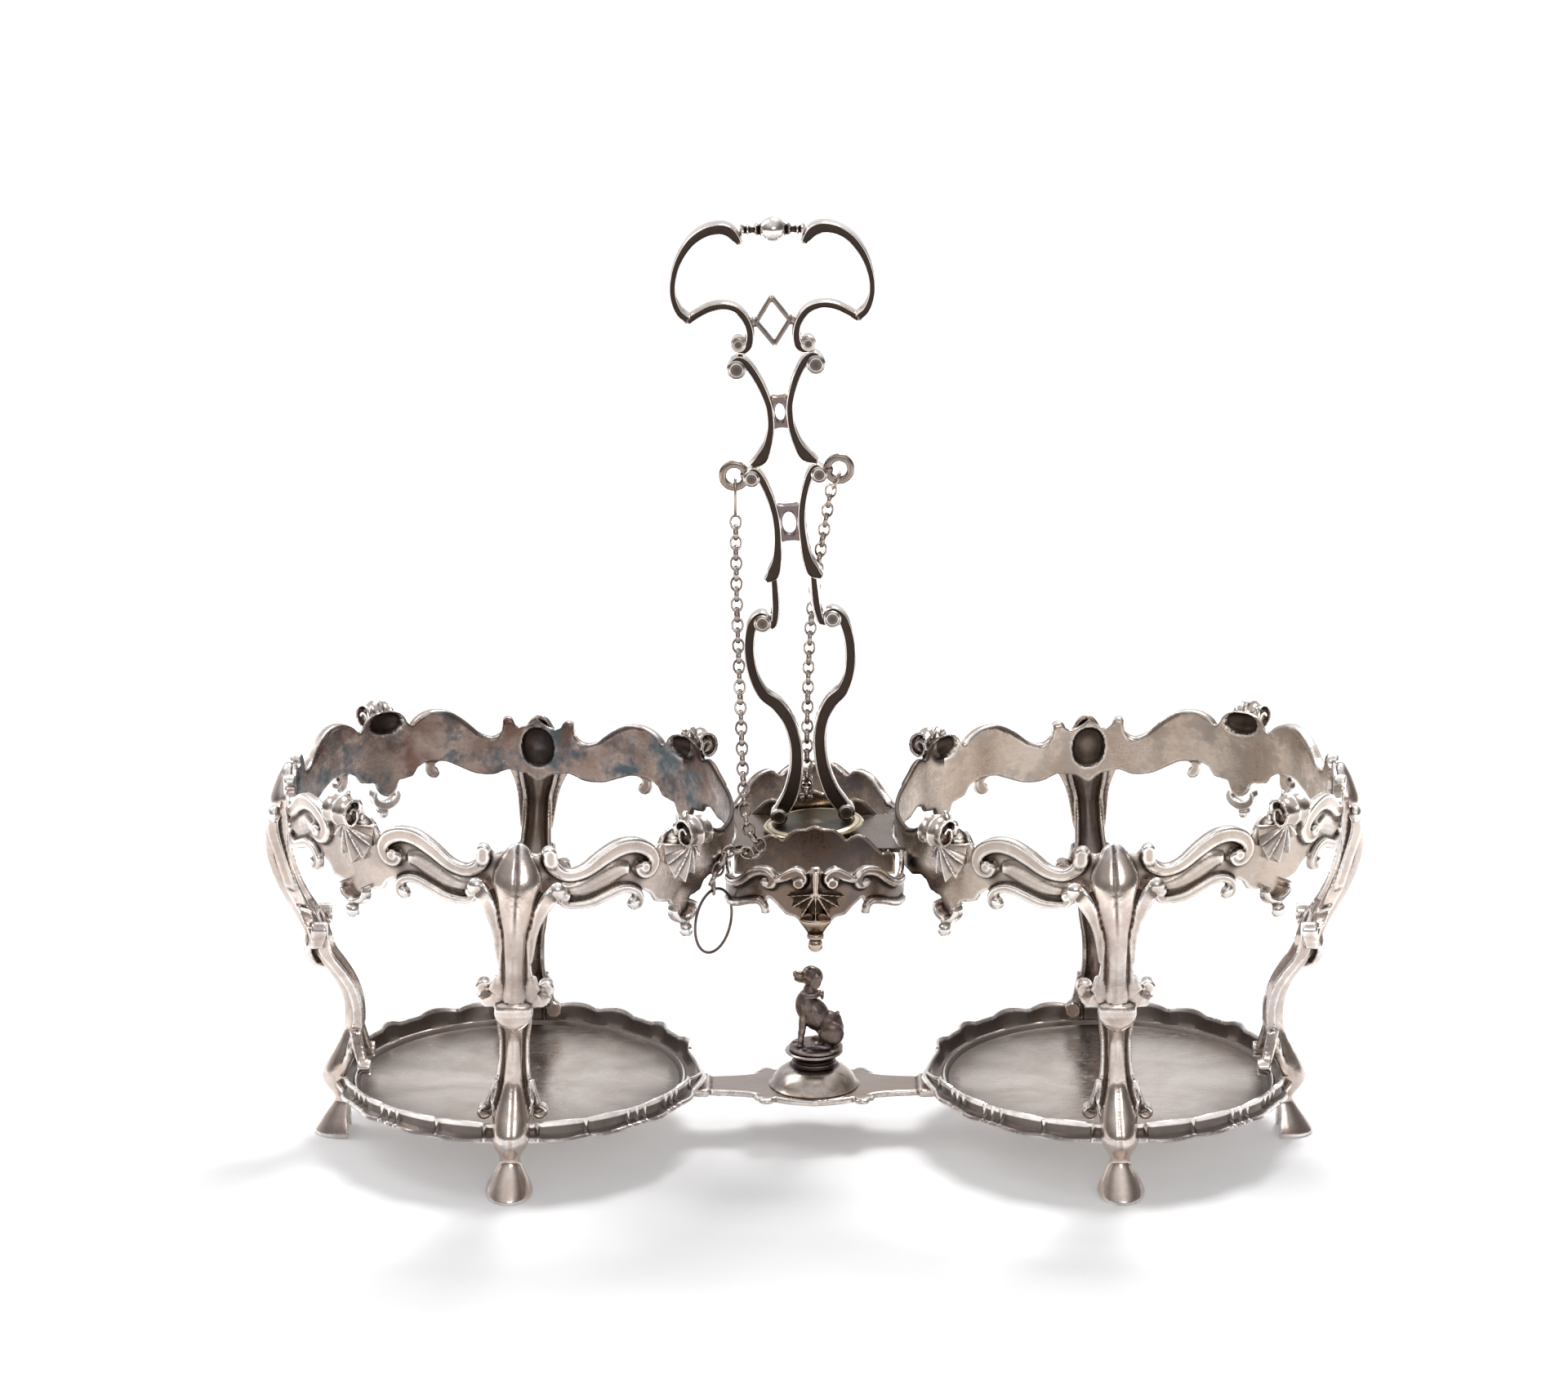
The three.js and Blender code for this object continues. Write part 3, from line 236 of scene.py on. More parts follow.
def stroke(points, lift, sink=0.3, round_top=False):
    """A raised band along (x, z, width), standing lift above the wall's middle and reaching sink below it."""
    line = smooth_line(points, 0.5)
    rings = []
    for (x, z, width), (tx, tz) in zip(line, directions(line[:, :2])):
        half = width / 2
        b = min(0.45, half * 0.6)
        if round_top:
            arch = [(-half * math.cos(a), lift * math.sin(a) ** 0.8)
                    for a in np.linspace(0.15, math.pi - 0.15, 7)]
            profile = [(-half, -sink), *arch, (half, -sink)]
        else:
            profile = [(-half, -sink), (-half, lift - b), (-half + b, lift), (0, lift - 0.12),
                       (half - b, lift), (half, lift - b), (half, -sink)]
        rings.append([(x - tz * a, -d, z + tx * a) for a, d in profile])
    return loft(rings)


def boss(x, z, radius, lift, sink=0.3, dish=0.0, sides=20):
    """A round button on a flat piece, with a rounded edge and an optional dished face."""
    shape = [(radius, -sink), (radius, lift - radius * 0.25), (radius * 0.82, lift),
             (radius * 0.5, lift - dish), (0.02, lift - dish * 1.2)]
    turn = full_turn(sides)
    return loft([[(x + r * math.cos(a), -d, z + r * math.sin(a)) for a in turn] for r, d in shape])


def turned(profile, sides=32, centre=(0, 0)):
    """A lathe shape round a vertical axis; the profile is (radius, height) from bottom to top."""
    rings = []
    for radius, z in profile:
        r = max(radius, 0.01)
        rings.append([(centre[0] + r * math.cos(a), centre[1] + r * math.sin(a), z)
                      for a in full_turn(sides)])
    return loft(rings)


def lump(centre, size, turn=0.0):
    """An egg-shaped lump with half sizes, turned about Y in degrees."""
    rows = []
    for v in np.linspace(-math.pi / 2 + 0.05, math.pi / 2 - 0.05, 11):
        rows.append([(math.cos(v) * math.cos(a), math.cos(v) * math.sin(a), math.sin(v))
                     for a in full_turn(16)])
    points, faces = loft(rows)
    turned_by = np.array(Matrix.Rotation(math.radians(turn), 3, "Y"))
    return (points * np.array(size)) @ turned_by.T + np.array(centre), faces


def between(top, bottom, thickness):
    """A flat sheet between two edges drawn as (x, height)."""
    top, bottom = np.array(top, float), np.array(bottom, float)
    low, high = max(top[0, 0], bottom[0, 0]), min(top[-1, 0], bottom[-1, 0])
    places = np.union1d(np.arange(low, high, 0.7), np.concatenate([top[:, 0], bottom[:, 0], [high]]))
    places = places[(places >= low) & (places <= high)]
    t = thickness / 2
    rings = []
    for x in places:
        up, down = np.interp(x, top[:, 0], top[:, 1]), np.interp(x, bottom[:, 0], bottom[:, 1])
        rings.append([(x, -t, down), (x, -t, up), (x, t, up), (x, t, down)])
    return loft(rings)


def both_halves(bits):
    """Adds the mirror image of each bit."""
    return bits + [(points * np.array([-1, 1, 1]), [face[::-1] for face in faces]) for points, faces in bits]


def new_object(name, points, faces):
    mesh = bpy.data.meshes.new(name)
    mesh.from_pydata([tuple(p) for p in points], [], faces)
    work = bmesh.new()
    work.from_mesh(mesh)
    bmesh.ops.recalc_face_normals(work, faces=work.faces)
    work.to_mesh(mesh)
    work.free()
    thing = bpy.data.objects.new(name, mesh)
    bpy.context.scene.collection.objects.link(thing)
    return thing


def arrays(mesh):
    points = np.empty(len(mesh.vertices) * 3)
    mesh.vertices.foreach_get("co", points)
    return points.reshape(-1, 3), [tuple(polygon.vertices) for polygon in mesh.polygons]


def cast(bits, voxel, rounds=3):
    """Fuses bits into one skin, as a casting is, and softens it a little."""
    thing = new_object("draft", *merged(bits))
    remesh = thing.modifiers.new("fuse", "REMESH")
    remesh.mode = "VOXEL"
    remesh.voxel_size = voxel
    soften = thing.modifiers.new("soften", "SMOOTH")
    soften.factor = 0.5
    soften.iterations = rounds
    evaluated = thing.evaluated_get(bpy.context.evaluated_depsgraph_get())
    result = arrays(evaluated.data)
    bpy.data.objects.remove(thing)
    return result


def relief_of(mesh, rounds):
    """How far the skin lies below the average of its surroundings, in millimetres."""
    points = np.empty(len(mesh.vertices) * 3)
    mesh.vertices.foreach_get("co", points)
    points = points.reshape(-1, 3) * 1000
    normals = np.empty(len(mesh.vertices) * 3)
    mesh.vertices.foreach_get("normal", normals)
    edges = np.empty(len(mesh.edges) * 2, dtype=np.int32)
    mesh.edges.foreach_get("vertices", edges)
    a, b = edges.reshape(-1, 2).T
    near = np.maximum(np.bincount(a, minlength=len(points)) + np.bincount(b, minlength=len(points)), 1)
    flat = points.copy()
    for _ in range(rounds):
        total = np.stack([np.bincount(a, flat[b, k], len(points)) + np.bincount(b, flat[a, k], len(points))
                          for k in range(3)], axis=1)
        flat = 0.5 * flat + 0.5 * total / near[:, None]
    return ((flat - points) * normals.reshape(-1, 3)).sum(axis=1)


def show(name, node, points, faces, material, slot, body="stand", sharp=40, fields=None):
    """Puts a finished piece in the scene, in metres, in place of a node; fields are for its material."""
    thing = new_object(name, points * 0.001, faces)
    mesh = thing.data
    mesh.materials.append(material)
    mesh.shade_smooth()
    mesh.set_sharp_from_angle(angle=math.radians(sharp))
    for label, rounds in (("relief", 8), ("broad", 90)):
        values = mesh.attributes.new(label, "FLOAT", "POINT")
        values.data.foreach_set("value", relief_of(mesh, rounds).astype(np.float32))
    for label, field_values in (fields or {}).items():
        values = mesh.attributes.new(label, "FLOAT", "POINT")
        values.data.foreach_set("value", np.asarray(field_values, np.float32))
    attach(thing, body)
    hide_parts(node)


# Bottle rings. Each ring is four cast sections soldered into a low pierced wall; every section
# with a leg carries two S-scrolls and two small lower scrolls on its outside and is smooth inside,
# with a round hollow behind the leg's head and an oval one behind each shell.

# Sizes here and below are those of the solids, in millimetres; angles are in degrees from the outer leg
RING_X = 79.5  # middle of the right-hand ring
RING_RADIUS = 58.7
RING_LOBE = 1.3  # depth of the lobes in its outline
RING_SWELL = 2.0  # bulge at the outer leg
RING_TILT = 0.0665  # rise for each millimetre outwards
WALL = 1.2
OUTER_SHELL = 50
INNER_SHELL = 137
LEG_ANGLE = 92.6
SIDES = {"right": 1, "left": -1}


def ring_radius(angle):
    swell = RING_SWELL * np.maximum(0, np.cos(np.radians(angle))) ** 4
    return RING_RADIUS - RING_LOBE * np.cos(4 * np.radians(angle)) + swell


def show_pair(name, node, points, faces, material, slot, settle=np.array, **more):
    """Shows a right-hand piece and its mirror image; {} in the names stands for the side."""
    for side, sign in SIDES.items():
        placed = settle(points * np.array([sign, 1, 1]))
        chosen = material[side] if isinstance(material, dict) else material
        show(name.format(side), node.format(side), placed, faces, chosen, slot, **more)


def on_ring(points, angle):
    """Bends a flat piece round the right-hand ring; angle gives each point's place on it."""
    r = ring_radius(angle) - points[:, 1]
    out = r * np.cos(np.radians(angle))
    return np.stack([RING_X + out, -r * np.sin(np.radians(angle)), points[:, 2] + RING_TILT * out], axis=1)


def dished(points, hollows):
    """Presses hollows (x, z, half sizes) into the inner side, and says where a face is inside and where painted
    shade and tarnish darken the hollows.
    """
    pushed = points.copy()
    inside = np.clip(points[:, 1] / WALL + 0.5, 0, 1)
    marked_shade_and_tarnish = np.zeros(len(points))
    for x, z, half_x, half_z in hollows:
        away = (np.abs(points[:, 0] - x) / half_x) ** 2.2 + (np.abs(points[:, 2] - z) / half_z) ** 2.2
        share = np.sqrt(np.clip(1 - away, 0, 1))
        pushed[:, 1] -= HOLLOW_DEPTH * share
        # Painted shade and tarnish inside the pressed hollows on the inner side.
        marked_shade_and_tarnish = np.maximum(marked_shade_and_tarnish, 0.65 * np.clip(share * 1.6 - 0.25, 0, 1) * (inside > 0.6))
    return pushed, {"inside": inside, "marked_shade_and_tarnish": marked_shade_and_tarnish}


# One side of a section: distance from its leg along the wall, and height
SECTION_HALF = 47  # from the leg to the middle of the shell
OVAL_Z = 100.1  # hollow behind each shell
HOLLOW_DEPTH = 2.8
HALF_TOP = [(0, 100.8), (1.6, 99.5), (3.2, 98.7), (5.6, 98.1), (6.8, 98.6), (8.4, 99.5), (9.9, 99.1),
            (11, 97), (11.6, 95), (12.6, 94.2), (14.3, 93.8), (18.7, 95.5), (23.7, 99.2), (28.3, 101.6),
            (32.6, 102), (36.2, 100.2), (38.7, 98.6), (39.8, 99.4), (40.9, 101.4), (42.4, 102.6),
            (44.6, 103.3), (49, 103.5)]
HALF_BOTTOM = [(0, 82.3), (3.8, 84.8), (9.2, 85.6), (11.5, 84.8), (15.5, 84), (19.6, 84.4), (24.1, 86.4),
               (27.5, 87.8), (29.8, 88.2), (33.6, 88.2), (35, 87.5), (37, 86.4), (38.6, 84), (41.5, 83.4),
               (43.2, 83.2), (43.8, 81.4), (44.8, 79.8), (46.2, 78.9), (49, 78.6)]
UPPER_SCROLL = [(9, 99, 3.2), (8.9, 96.8, 3.8), (10.6, 94.4, 3.4), (14, 93.1, 3.2), (18.4, 94.4, 3.4),
                (23.1, 97.7, 4), (27.7, 100.1, 4.2), (32.2, 100.4, 4), (36, 98.6, 3.8), (37.6, 95.6, 3.2),
                (36.4, 93, 2.6), (34, 92.5, 2.1), (32.7, 93.9, 1.7), (33.4, 95.2, 1.5)]
LOWER_SCROLL = [(12.4, 87.4, 1.5), (12, 86, 1.8), (13, 85.1, 2), (15.8, 84.9, 2.2),
                (19.8, 85.5, 2.4), (24.1, 87.3, 2.5), (28, 88.8, 2.5), (31.2, 88.5, 2.4), (33.2, 86.7, 2.3),
                (33, 84.4, 2), (31.5, 83.6, 1.6), (30.5, 84.8, 1.4)]
PILLOW = [(12, 89.4, 3), (15, 89, 4), (19, 90, 5), (23.5, 92.2, 5.8), (27.4, 94, 5.4), (30.4, 94.2, 3.4)]

half_section = [
    between(HALF_TOP, HALF_BOTTOM, WALL),
    stroke(UPPER_SCROLL, 2.4), stroke(LOWER_SCROLL, 2), stroke(PILLOW, 1.4, round_top=True),
    boss(8.9, 98.8, 1.9, 2.8), boss(9, 96.9, 2, 2.8), boss(12.8, 87.5, 1.4, 2.3), boss(34.3, 94.6, 1.5, 2.9),
    boss(31.6, 85, 1.2, 2.4),
]
section = cast(both_halves(half_section), 0.36, 2)
hollows = [(0, 92.7, 4.9, 5.6)] + [(end, OVAL_Z, 5.1, 3) for end in (-SECTION_HALF, SECTION_HALF)]
flat, wall_fields = dished(section[0], hollows)
flat[:, 0] = np.clip(flat[:, 0], -SECTION_HALF, SECTION_HALF)
# Angle of each section's middle, and the angles from there to its shells
GALLERY_SPANS = {
    "front": (LEG_ANGLE, INNER_SHELL - LEG_ANGLE, LEG_ANGLE - OUTER_SHELL),
    "outer": (0, OUTER_SHELL, OUTER_SHELL),
    "rear": (-LEG_ANGLE, LEG_ANGLE - OUTER_SHELL, INNER_SHELL - LEG_ANGLE),
}
for place, (middle, ahead, behind) in GALLERY_SPANS.items():
    x = flat[:, 0]
    bent = on_ring(flat, middle + np.where(x > 0, x * ahead / SECTION_HALF, x * behind / SECTION_HALF))
    show_pair(f"ring_{{}}_{place}", f"gallery_{{}}_{place}", bent, section[1], WALLS, "gallery_silver",
              fields=wall_fields)

# The inner section has no leg: a plain wall with a rounded lobe next to each shell. Its distances along
# the wall are degrees.
PLAIN_HALF = 43
PLAIN_TOP = [(0, 96.4), (12, 96.4), (20, 96.8), (25, 98), (29, 99.6), (32, 100), (34.6, 98.6), (35.8, 99.6),
             (37, 101.4), (38.6, 102.6), (41, 103.3), (45, 103.5)]
PLAIN_BOTTOM = [(0, 86.6), (14, 86.2), (25, 85.4), (30, 86.8), (33, 86), (34.6, 84), (37.5, 83.4),
                (39.2, 83.2), (39.8, 81.4), (40.8, 79.8), (42.2, 78.9), (45, 78.6)]
half_plain = [between(PLAIN_TOP, PLAIN_BOTTOM, WALL),
              stroke([(x, z - 0.6, 1.2) for x, z in PLAIN_TOP[2:7]], 1.1)]
plain = cast(both_halves(half_plain), 0.4)
flat, wall_fields = dished(plain[0], [(end, OVAL_Z, 4.8, 3) for end in (-PLAIN_HALF, PLAIN_HALF)])
flat[:, 0] = np.clip(flat[:, 0], -PLAIN_HALF, PLAIN_HALF)
bent = on_ring(flat, 180 + flat[:, 0])
show_pair("ring_{}_inner", "gallery_{}_inner", bent, plain[1], WALLS, "gallery_silver", fields=wall_fields)


# Shells. Cast fans with thin raised ribs between hollow flutes hang from a reeded roll that curls over
# from the wall's top, with small leaf tips behind it; below are a curled lip and a ball drop. They are
# soldered over the joints of the sections and on the fronts of the stopper rings.

SHELL_Z = 93.4
FLUTES = 6
ROLL_THICKNESS = 0.75


def fan(width, depth, top, spread, lift, fall):
    """Ribs spread from a hinge at the top; lift is the relief there and fall what is lost by the edge."""
    rings = []
    for a in np.linspace(-spread, spread, FLUTES * 16 + 1):
        share = (a + spread) / (2 * spread) * FLUTES
        away = abs(share - round(share)) * 2
        valley = 1 - (1 - away) ** 2.2
        reach = 1 - 0.14 * valley
        row = []
        for t in np.linspace(0.02, 1, 12):
            height = lift - fall * t ** 1.7 + 0.5 * t - 1.5 * t ** 0.8 * valley
            row.append((width * reach * t * math.sin(a), -max(height, 0.5),
                        top - depth * reach * t * math.cos(a)))
        outer = row[-1]
        rings.append(row + [(outer[0], 0.2, outer[2]), (row[0][0], 0.2, row[0][2])])
    return loft(rings)


def ball_drop(top, bottom, out):
    """A hanging ball on a short neck, in front of the wall by out."""
    shape = [(0, bottom), (1.1, bottom + 0.25), (1.75, bottom + 1.1), (1.85, bottom + 2), (1.6, bottom + 3),
             (0.95, bottom + 3.5), (0.9, bottom + 3.9), (1.3, top)]
    return turned(shape, 20, (0, -out))


def roll(path, centre, half):
    """A strip rolled up along (y, z) places about a centre, with a ridge in the middle and rims at the ends."""
    line = smooth_line([(y, z, 0) for y, z in path], 0.4)[:, :2]
    across = np.linspace(-half, half, 25)
    ridge = 0.5 * np.clip(1 - np.abs(across) / 1.7, 0, 1) ** 1.7
    swell = 1 + ridge + 0.22 * np.clip(np.abs(across) / half * 2 - 1, 0, 1) ** 2
    middle_y, middle_z = centre
    rings = []
    for i, ((y, z), (ty, tz)) in enumerate(zip(line, directions(line))):
        fade = max(0, 1 - i / len(line) * 1.15) ** 0.7
        ring = []
        for offset, order in ((-ROLL_THICKNESS / 2, 1), (ROLL_THICKNESS / 2, -1)):
            for x, k in list(zip(across, swell))[::order]:
                grown = 1 + (k - 1) * fade
                ring.append((x, middle_y + (y - middle_y) * grown + tz * offset,
                             middle_z + (z - middle_z) * grown - ty * offset))
        rings.append(ring)
    return loft(rings)


def kept_outside(points):
    """Keeps a shell's back out of the oval hollow in the wall behind it."""
    away = (np.abs(points[:, 0]) / 5.3) ** 2.2 + (np.abs(points[:, 2] - OVAL_Z) / 3.2) ** 2.2
    limit = 0.4 - HOLLOW_DEPTH * np.sqrt(np.clip(1 - away, 0, 1))
    return np.stack([points[:, 0], np.minimum(points[:, 1], limit), points[:, 2]], axis=1)


def pushed_out(bit, distance):
    return bit[0] - np.array([0, distance, 0]), bit[1]


ROLL_CENTRE = (-4.8, 9.9)
ROLL_PATH = [(-0.6, 4.8), (-1.5, 7.2), (-1.7, 9.8), (-2.5, 12.1), (-4.7, 13), (-7, 12), (-7.9, 9.8),
             (-7, 7.7), (-5, 7), (-3.4, 8.1), (-3.4, 10.2), (-4.9, 11.1), (-6.1, 10)]
LIP = [(-3.2, -10.4, 1), (-3.6, -12.2, 1.7), (-2.5, -13.9, 2.2), (0, -14.8, 2.5), (2.5, -13.9, 2.2),
       (3.6, -12.2, 1.7), (3.2, -10.4, 1)]
LEAVES = [[(-2.6, 9.6, 2), (-3.1, 12, 1.5), (-2.8, 13.4, 0.4)],
          [(0.3, 10, 2.2), (0.6, 13, 1.7), (0, 15, 0.4)], [(2.8, 9.4, 2), (3.5, 11.4, 1.5), (3.2, 12.9, 0.4)]]
shell = cast([
    fan(6.9, 11.3, 6.6, math.radians(92), 4.3, 2.8), roll(ROLL_PATH, ROLL_CENTRE, 3.4),
    stroke(LIP, 2.9, round_top=True),
    *[pushed_out(stroke(leaf, 0.9), 1.9) for leaf in LEAVES], ball_drop(-14.6, -19.3, 2),
], 0.26, 1)
# Place on the ring and height against the others
SHELL_PLACES = {"front_outer": (OUTER_SHELL, 1), "front_inner": (INNER_SHELL, -0.4),
                "rear_outer": (-OUTER_SHELL, -2.6), "rear_inner": (-INNER_SHELL, -2.6)}
for place, (angle, height) in SHELL_PLACES.items():
    lifted = shell[0] + np.array([0, -WALL / 2 - 0.05, SHELL_Z + height])
    bent = on_ring(kept_outside(lifted), angle - lifted[:, 0] / math.radians(RING_RADIUS))
    show_pair(f"scallop_{{}}_{place}", f"shell_{{}}_{place}", bent, shell[1], SHELL, "cast_silver")


# Legs. Cast in one: a tulip-shaped head with a crease, a round rib between hollow sides with raised
# edges that end in curls, a shield-shaped knop, a bulb and a half-cone foot; the back is an open channel.

LEG_HEAD = 84
FOOT_OUTWARD = 1.3
# Height, front, half width and depth of the rib, half width at the raised edge, depth of the side
LEG_ROWS = [
    (101.2, 59.8, 0.9, 0.6, 0.9, 0.8), (100.3, 60.6, 2.3, 1.4, 2.3, 1.2), (98.9, 61.4, 3.2, 1.9, 3.3, 1.6),
    (97.7, 62.1, 3.9, 2.1, 4, 2), (95.8, 63, 4.9, 2.4, 5, 2.4), (94, 63.8, 5.7, 2.8, 5.9, 2.8),
    (92.6, 64.4, 6, 3, 6.3, 3), (91, 64.9, 6.1, 3.1, 6.4, 3.1), (89, 65.3, 5.8, 3.2, 6.4, 3.3),
    (87, 65.6, 5.2, 3, 6.1, 3.8), (84.6, 65.85, 4.5, 2.7, 5.6, 4.3), (81.4, 65.95, 3.7, 2.5, 5, 4.5),
    (78.5, 65.9, 3, 2.4, 4.3, 4.5), (74.7, 65.3, 2.7, 2.4, 4, 4.5), (70.6, 63.8, 2.5, 2.3, 4, 4.4),
    (66, 61.4, 2.4, 2.2, 4.3, 4.4), (62, 58.7, 2.5, 2.2, 4.9, 4.5), (59.4, 57.1, 2.8, 2.2, 5.6, 4.5),
    (57, 56, 3.3, 2.3, 5.3, 4.2), (55, 55.2, 3.5, 2.4, 4.9, 4), (52, 54.2, 3.3, 2.5, 4.8, 3.9),
    (49, 51.8, 2.9, 2.4, 4.6, 3.7), (46, 49.5, 2.4, 2.3, 4.4, 3.5), (42.3, 47.3, 2.2, 2.2, 4, 3.3),
    (38, 46, 2.2, 2.2, 4, 3.2), (34.2, 45.7, 2.3, 2.2, 4.2, 3.2), (30.6, 46.1, 2.6, 2.3, 4.7, 3.3),
    (27.3, 47.3, 3.2, 2.6, 5.5, 3.3), (25.4, 48.2, 3.7, 3, 5.8, 3), (23.5, 49.2, 4.2, 3.6, 5.3, 3),
    (21, 50.6, 4.7, 4.2, 5, 2.6), (18, 52, 5, 5, 5.05, 2), (16, 52.2, 5, 5, 5, 2),
    (14, 51.3, 4.5, 4.6, 4.5, 1.8), (12, 49.8, 3.5, 3.6, 3.5, 1.4), (10.5, 48.9, 2.8, 2.8, 2.8, 1.2),
    (9.2, 49.1, 2.8, 3, 2.8, 1.2), (6, 51.2, 4.4, 5, 4.4, 1.2), (3.5, 52.9, 5.6, 6.8, 5.6, 1.2),
    (1.4, 54.3, 6.3, 8.2, 6.3, 1.2), (0.5, 54.8, 6.3, 8.6, 6.3, 1.3), (0, 54.5, 6.1, 8.4, 6.1, 1.2),
]
# Height and depth of the crease down the front
CREASE = [(0, 0), (11, 0), (14, 0.25), (30, 0.25), (33, 0), (78, 0), (84, 0.3), (98, 0.45), (101.3, 0.8)]


def leg_ring(row):
    z, front, rib, drop, lip, side = row
    sink = min(0.9, (lip - rib) * 0.6)
    crease = np.interp(z, *zip(*CREASE))
    half = []
    for a in np.linspace(0, 1.5, 11):
        x = rib * math.sin(a)
        half.append((x, front - drop * (1 - math.cos(a)) - crease * math.exp(-(x / 0.35) ** 2)))
    back = front - drop - side
    edge = min(0.45, (lip - rib) * 0.4)
    wide = lip - rib
    half += [(rib + min(wide * 0.35, 0.5), front - drop - sink),
             (rib + min(wide * 0.7, 1.3), front - drop - 0.1), (lip - edge, front - drop),
             (lip, front - drop - 0.4), (lip, back + 0.3), (max(lip - 0.9, 0.1), back)]
    depth = max(0.1, front - back - 2.4)
    half += [(max(lip - 1.2, 0.2) * math.cos(a), back + depth * math.sin(a))
             for a in np.linspace(0.15, 1.57, 6)]
    return [(x, -y, z) for x, y in half] + [(-x, -y, z) for x, y in half[-2:0:-1]]


def ribbon(points, thick):
    """A flat band standing in space: (x, y, z, width); it is thick from front to back."""
    line = smooth_line(points, 0.8)
    rings = []
    for (x, y, z, width), t in zip(line, directions(line[:, :3])):
        across = np.array([t[2], 0, -t[0]])
        across /= max(np.linalg.norm(across), 1e-6)
        up = np.cross(t, across)
        w, h, b = width / 2, thick / 2, 0.3
        profile = [(-w, -h + b), (-w + b, -h), (w - b, -h), (w, -h + b),
                   (w, h - b), (w - b, h), (-w + b, h), (-w, h - b)]
        rings.append([np.array([x, -y, z]) + a * across + c * up for a, c in profile])
    return loft(rings)


def curl(x, y, z, radius, thick):
    """The round end of a side, a disc facing front."""
    points, faces = boss(x, z, radius, thick / 2, thick / 2, 0.2)
    return points + np.array([0, -y, 0]), faces


WING = [(10.8, 61.8, 90.4, 3), (9.3, 62.6, 89.2, 4.2), (7.4, 63, 86.3, 3.9), (6, 62.8, 82.8, 2.9),
        (4.9, 61.8, 78, 1.9), (4.1, 59.2, 69, 1)]
HOOK = [(4.2, 55.2, 64, 2.4), (4.5, 54, 60.4, 4), (5.5, 52.8, 57.8, 4.8), (7.2, 51.9, 57.2, 4.6),
        (8.3, 51.3, 58.8, 3.8)]
TAIL = [(4.7, 42.6, 30.6, 1.6), (5.2, 42, 27.4, 2), (6, 41.2, 24, 2.4), (7, 40.4, 21.4, 2.4)]
SHIELD = [(56.4, 55.6, 3.9), (55.6, 56.2, 4.8), (54.4, 56.4, 5.1), (53, 56.4, 5.1), (51.8, 56.1, 4.8),
          (50.6, 55.7, 4.1), (49.4, 55, 3.1), (48.4, 54.1, 1.9), (47.6, 53.1, 0.7)]
shield = []
for z, front, half in SHIELD:
    shield.append([(half * math.cos(a), -(front - 2.6 + 2.6 * math.sin(a) ** 0.6), z)
                   for a in np.linspace(0, math.pi, 17)])
leg_body = loft([leg_ring(row) for row in smooth_line([(z, z, *rest) for z, *rest in LEG_ROWS], 0.9)[:, 1:]])
half_leg = [
    ribbon(WING, 3.2), lump((10.4, -62.2, 90), (2.4, 1.8, 2.4)), ribbon(HOOK, 4.4),
    curl(8.2, 51.2, 59.6, 2.2, 4.4), ribbon(TAIL, 3.4), curl(7.3, 40.2, 21.2, 2.1, 3.6),
]
leg = cast([leg_body, loft(shield), *both_halves(half_leg)], 0.34, 2)
leg_x, leg_y, leg_z = leg[0].T
# Painted shade and tarnish down the crease on the front of the head.
leg_fields = {"marked_shade_and_tarnish": np.exp(-(leg_x / 0.28) ** 2) * np.clip((leg_z - 76) / 8, 0, 0.85) * (leg_y < -58)}


def place_leg(points, shift, rise, turn):
    """Moves a front leg out by shift, lifts its head by rise and turns it round the ring's axis."""
    moved = points - np.array([0, shift, 0])
    t = np.clip((moved[:, 2] - 50) / 34, 0, 1)
    moved[:, 2] += rise * t * t * (3 - 2 * t)
    if not rise:
        head = ring_radius(LEG_ANGLE) * math.cos(math.radians(LEG_ANGLE))
        moved[:, 2] += RING_TILT * moved[:, 0] * t
        moved[:, 0] += FOOT_OUTWARD + (head - FOOT_OUTWARD) * moved[:, 2] / LEG_HEAD
    c, s = math.cos(turn), math.sin(turn)
    return moved @ np.array([[c, -s, 0], [s, c, 0], [0, 0, 1]]).T + np.array([RING_X, 0, 0])


outer_rise = RING_TILT * (ring_radius(0) + WALL / 2)
front_leg = place_leg(leg[0], 0, 0, 0)
outer_leg = place_leg(leg[0], RING_SWELL, outer_rise, math.pi / 2)
rear_leg = front_leg * np.array([1, -1, 1])
# The rear legs take the darker copy of the cast silver, as painted shade.
LEGS = {"front": (front_leg, CAST), "outer": (outer_leg, CAST), "rear": (rear_leg, SHADED_REAR)}
for place, (points, material) in LEGS.items():
    show_pair(f"scroll_leg_{{}}_{place}", f"leg_{{}}_{place}", points, leg[1], material, "cast_silver",
              fields=leg_fields)


# Bottle plates. Raised sheet with a flat planished well, a bead moulding round it and an upright rim of
# cast border: hollow petals between thin ridges over a narrow ledge, plain next to the legs and the bridge.

PLATE_X = 80.0
PLATE_FLOOR = 15.3
# Kinds of rim and their widths in degrees, from a leg towards the bridge
RIM_PARTS = [("flat", 8.5), ("wave", 16), ("wave", 15.5), ("rib", 3.6), ("rib", 3.4), ("wave", 10.5),
             ("rib", 3.6), ("rib", 3.4), ("wave", 11.5), ("smooth", 14)]
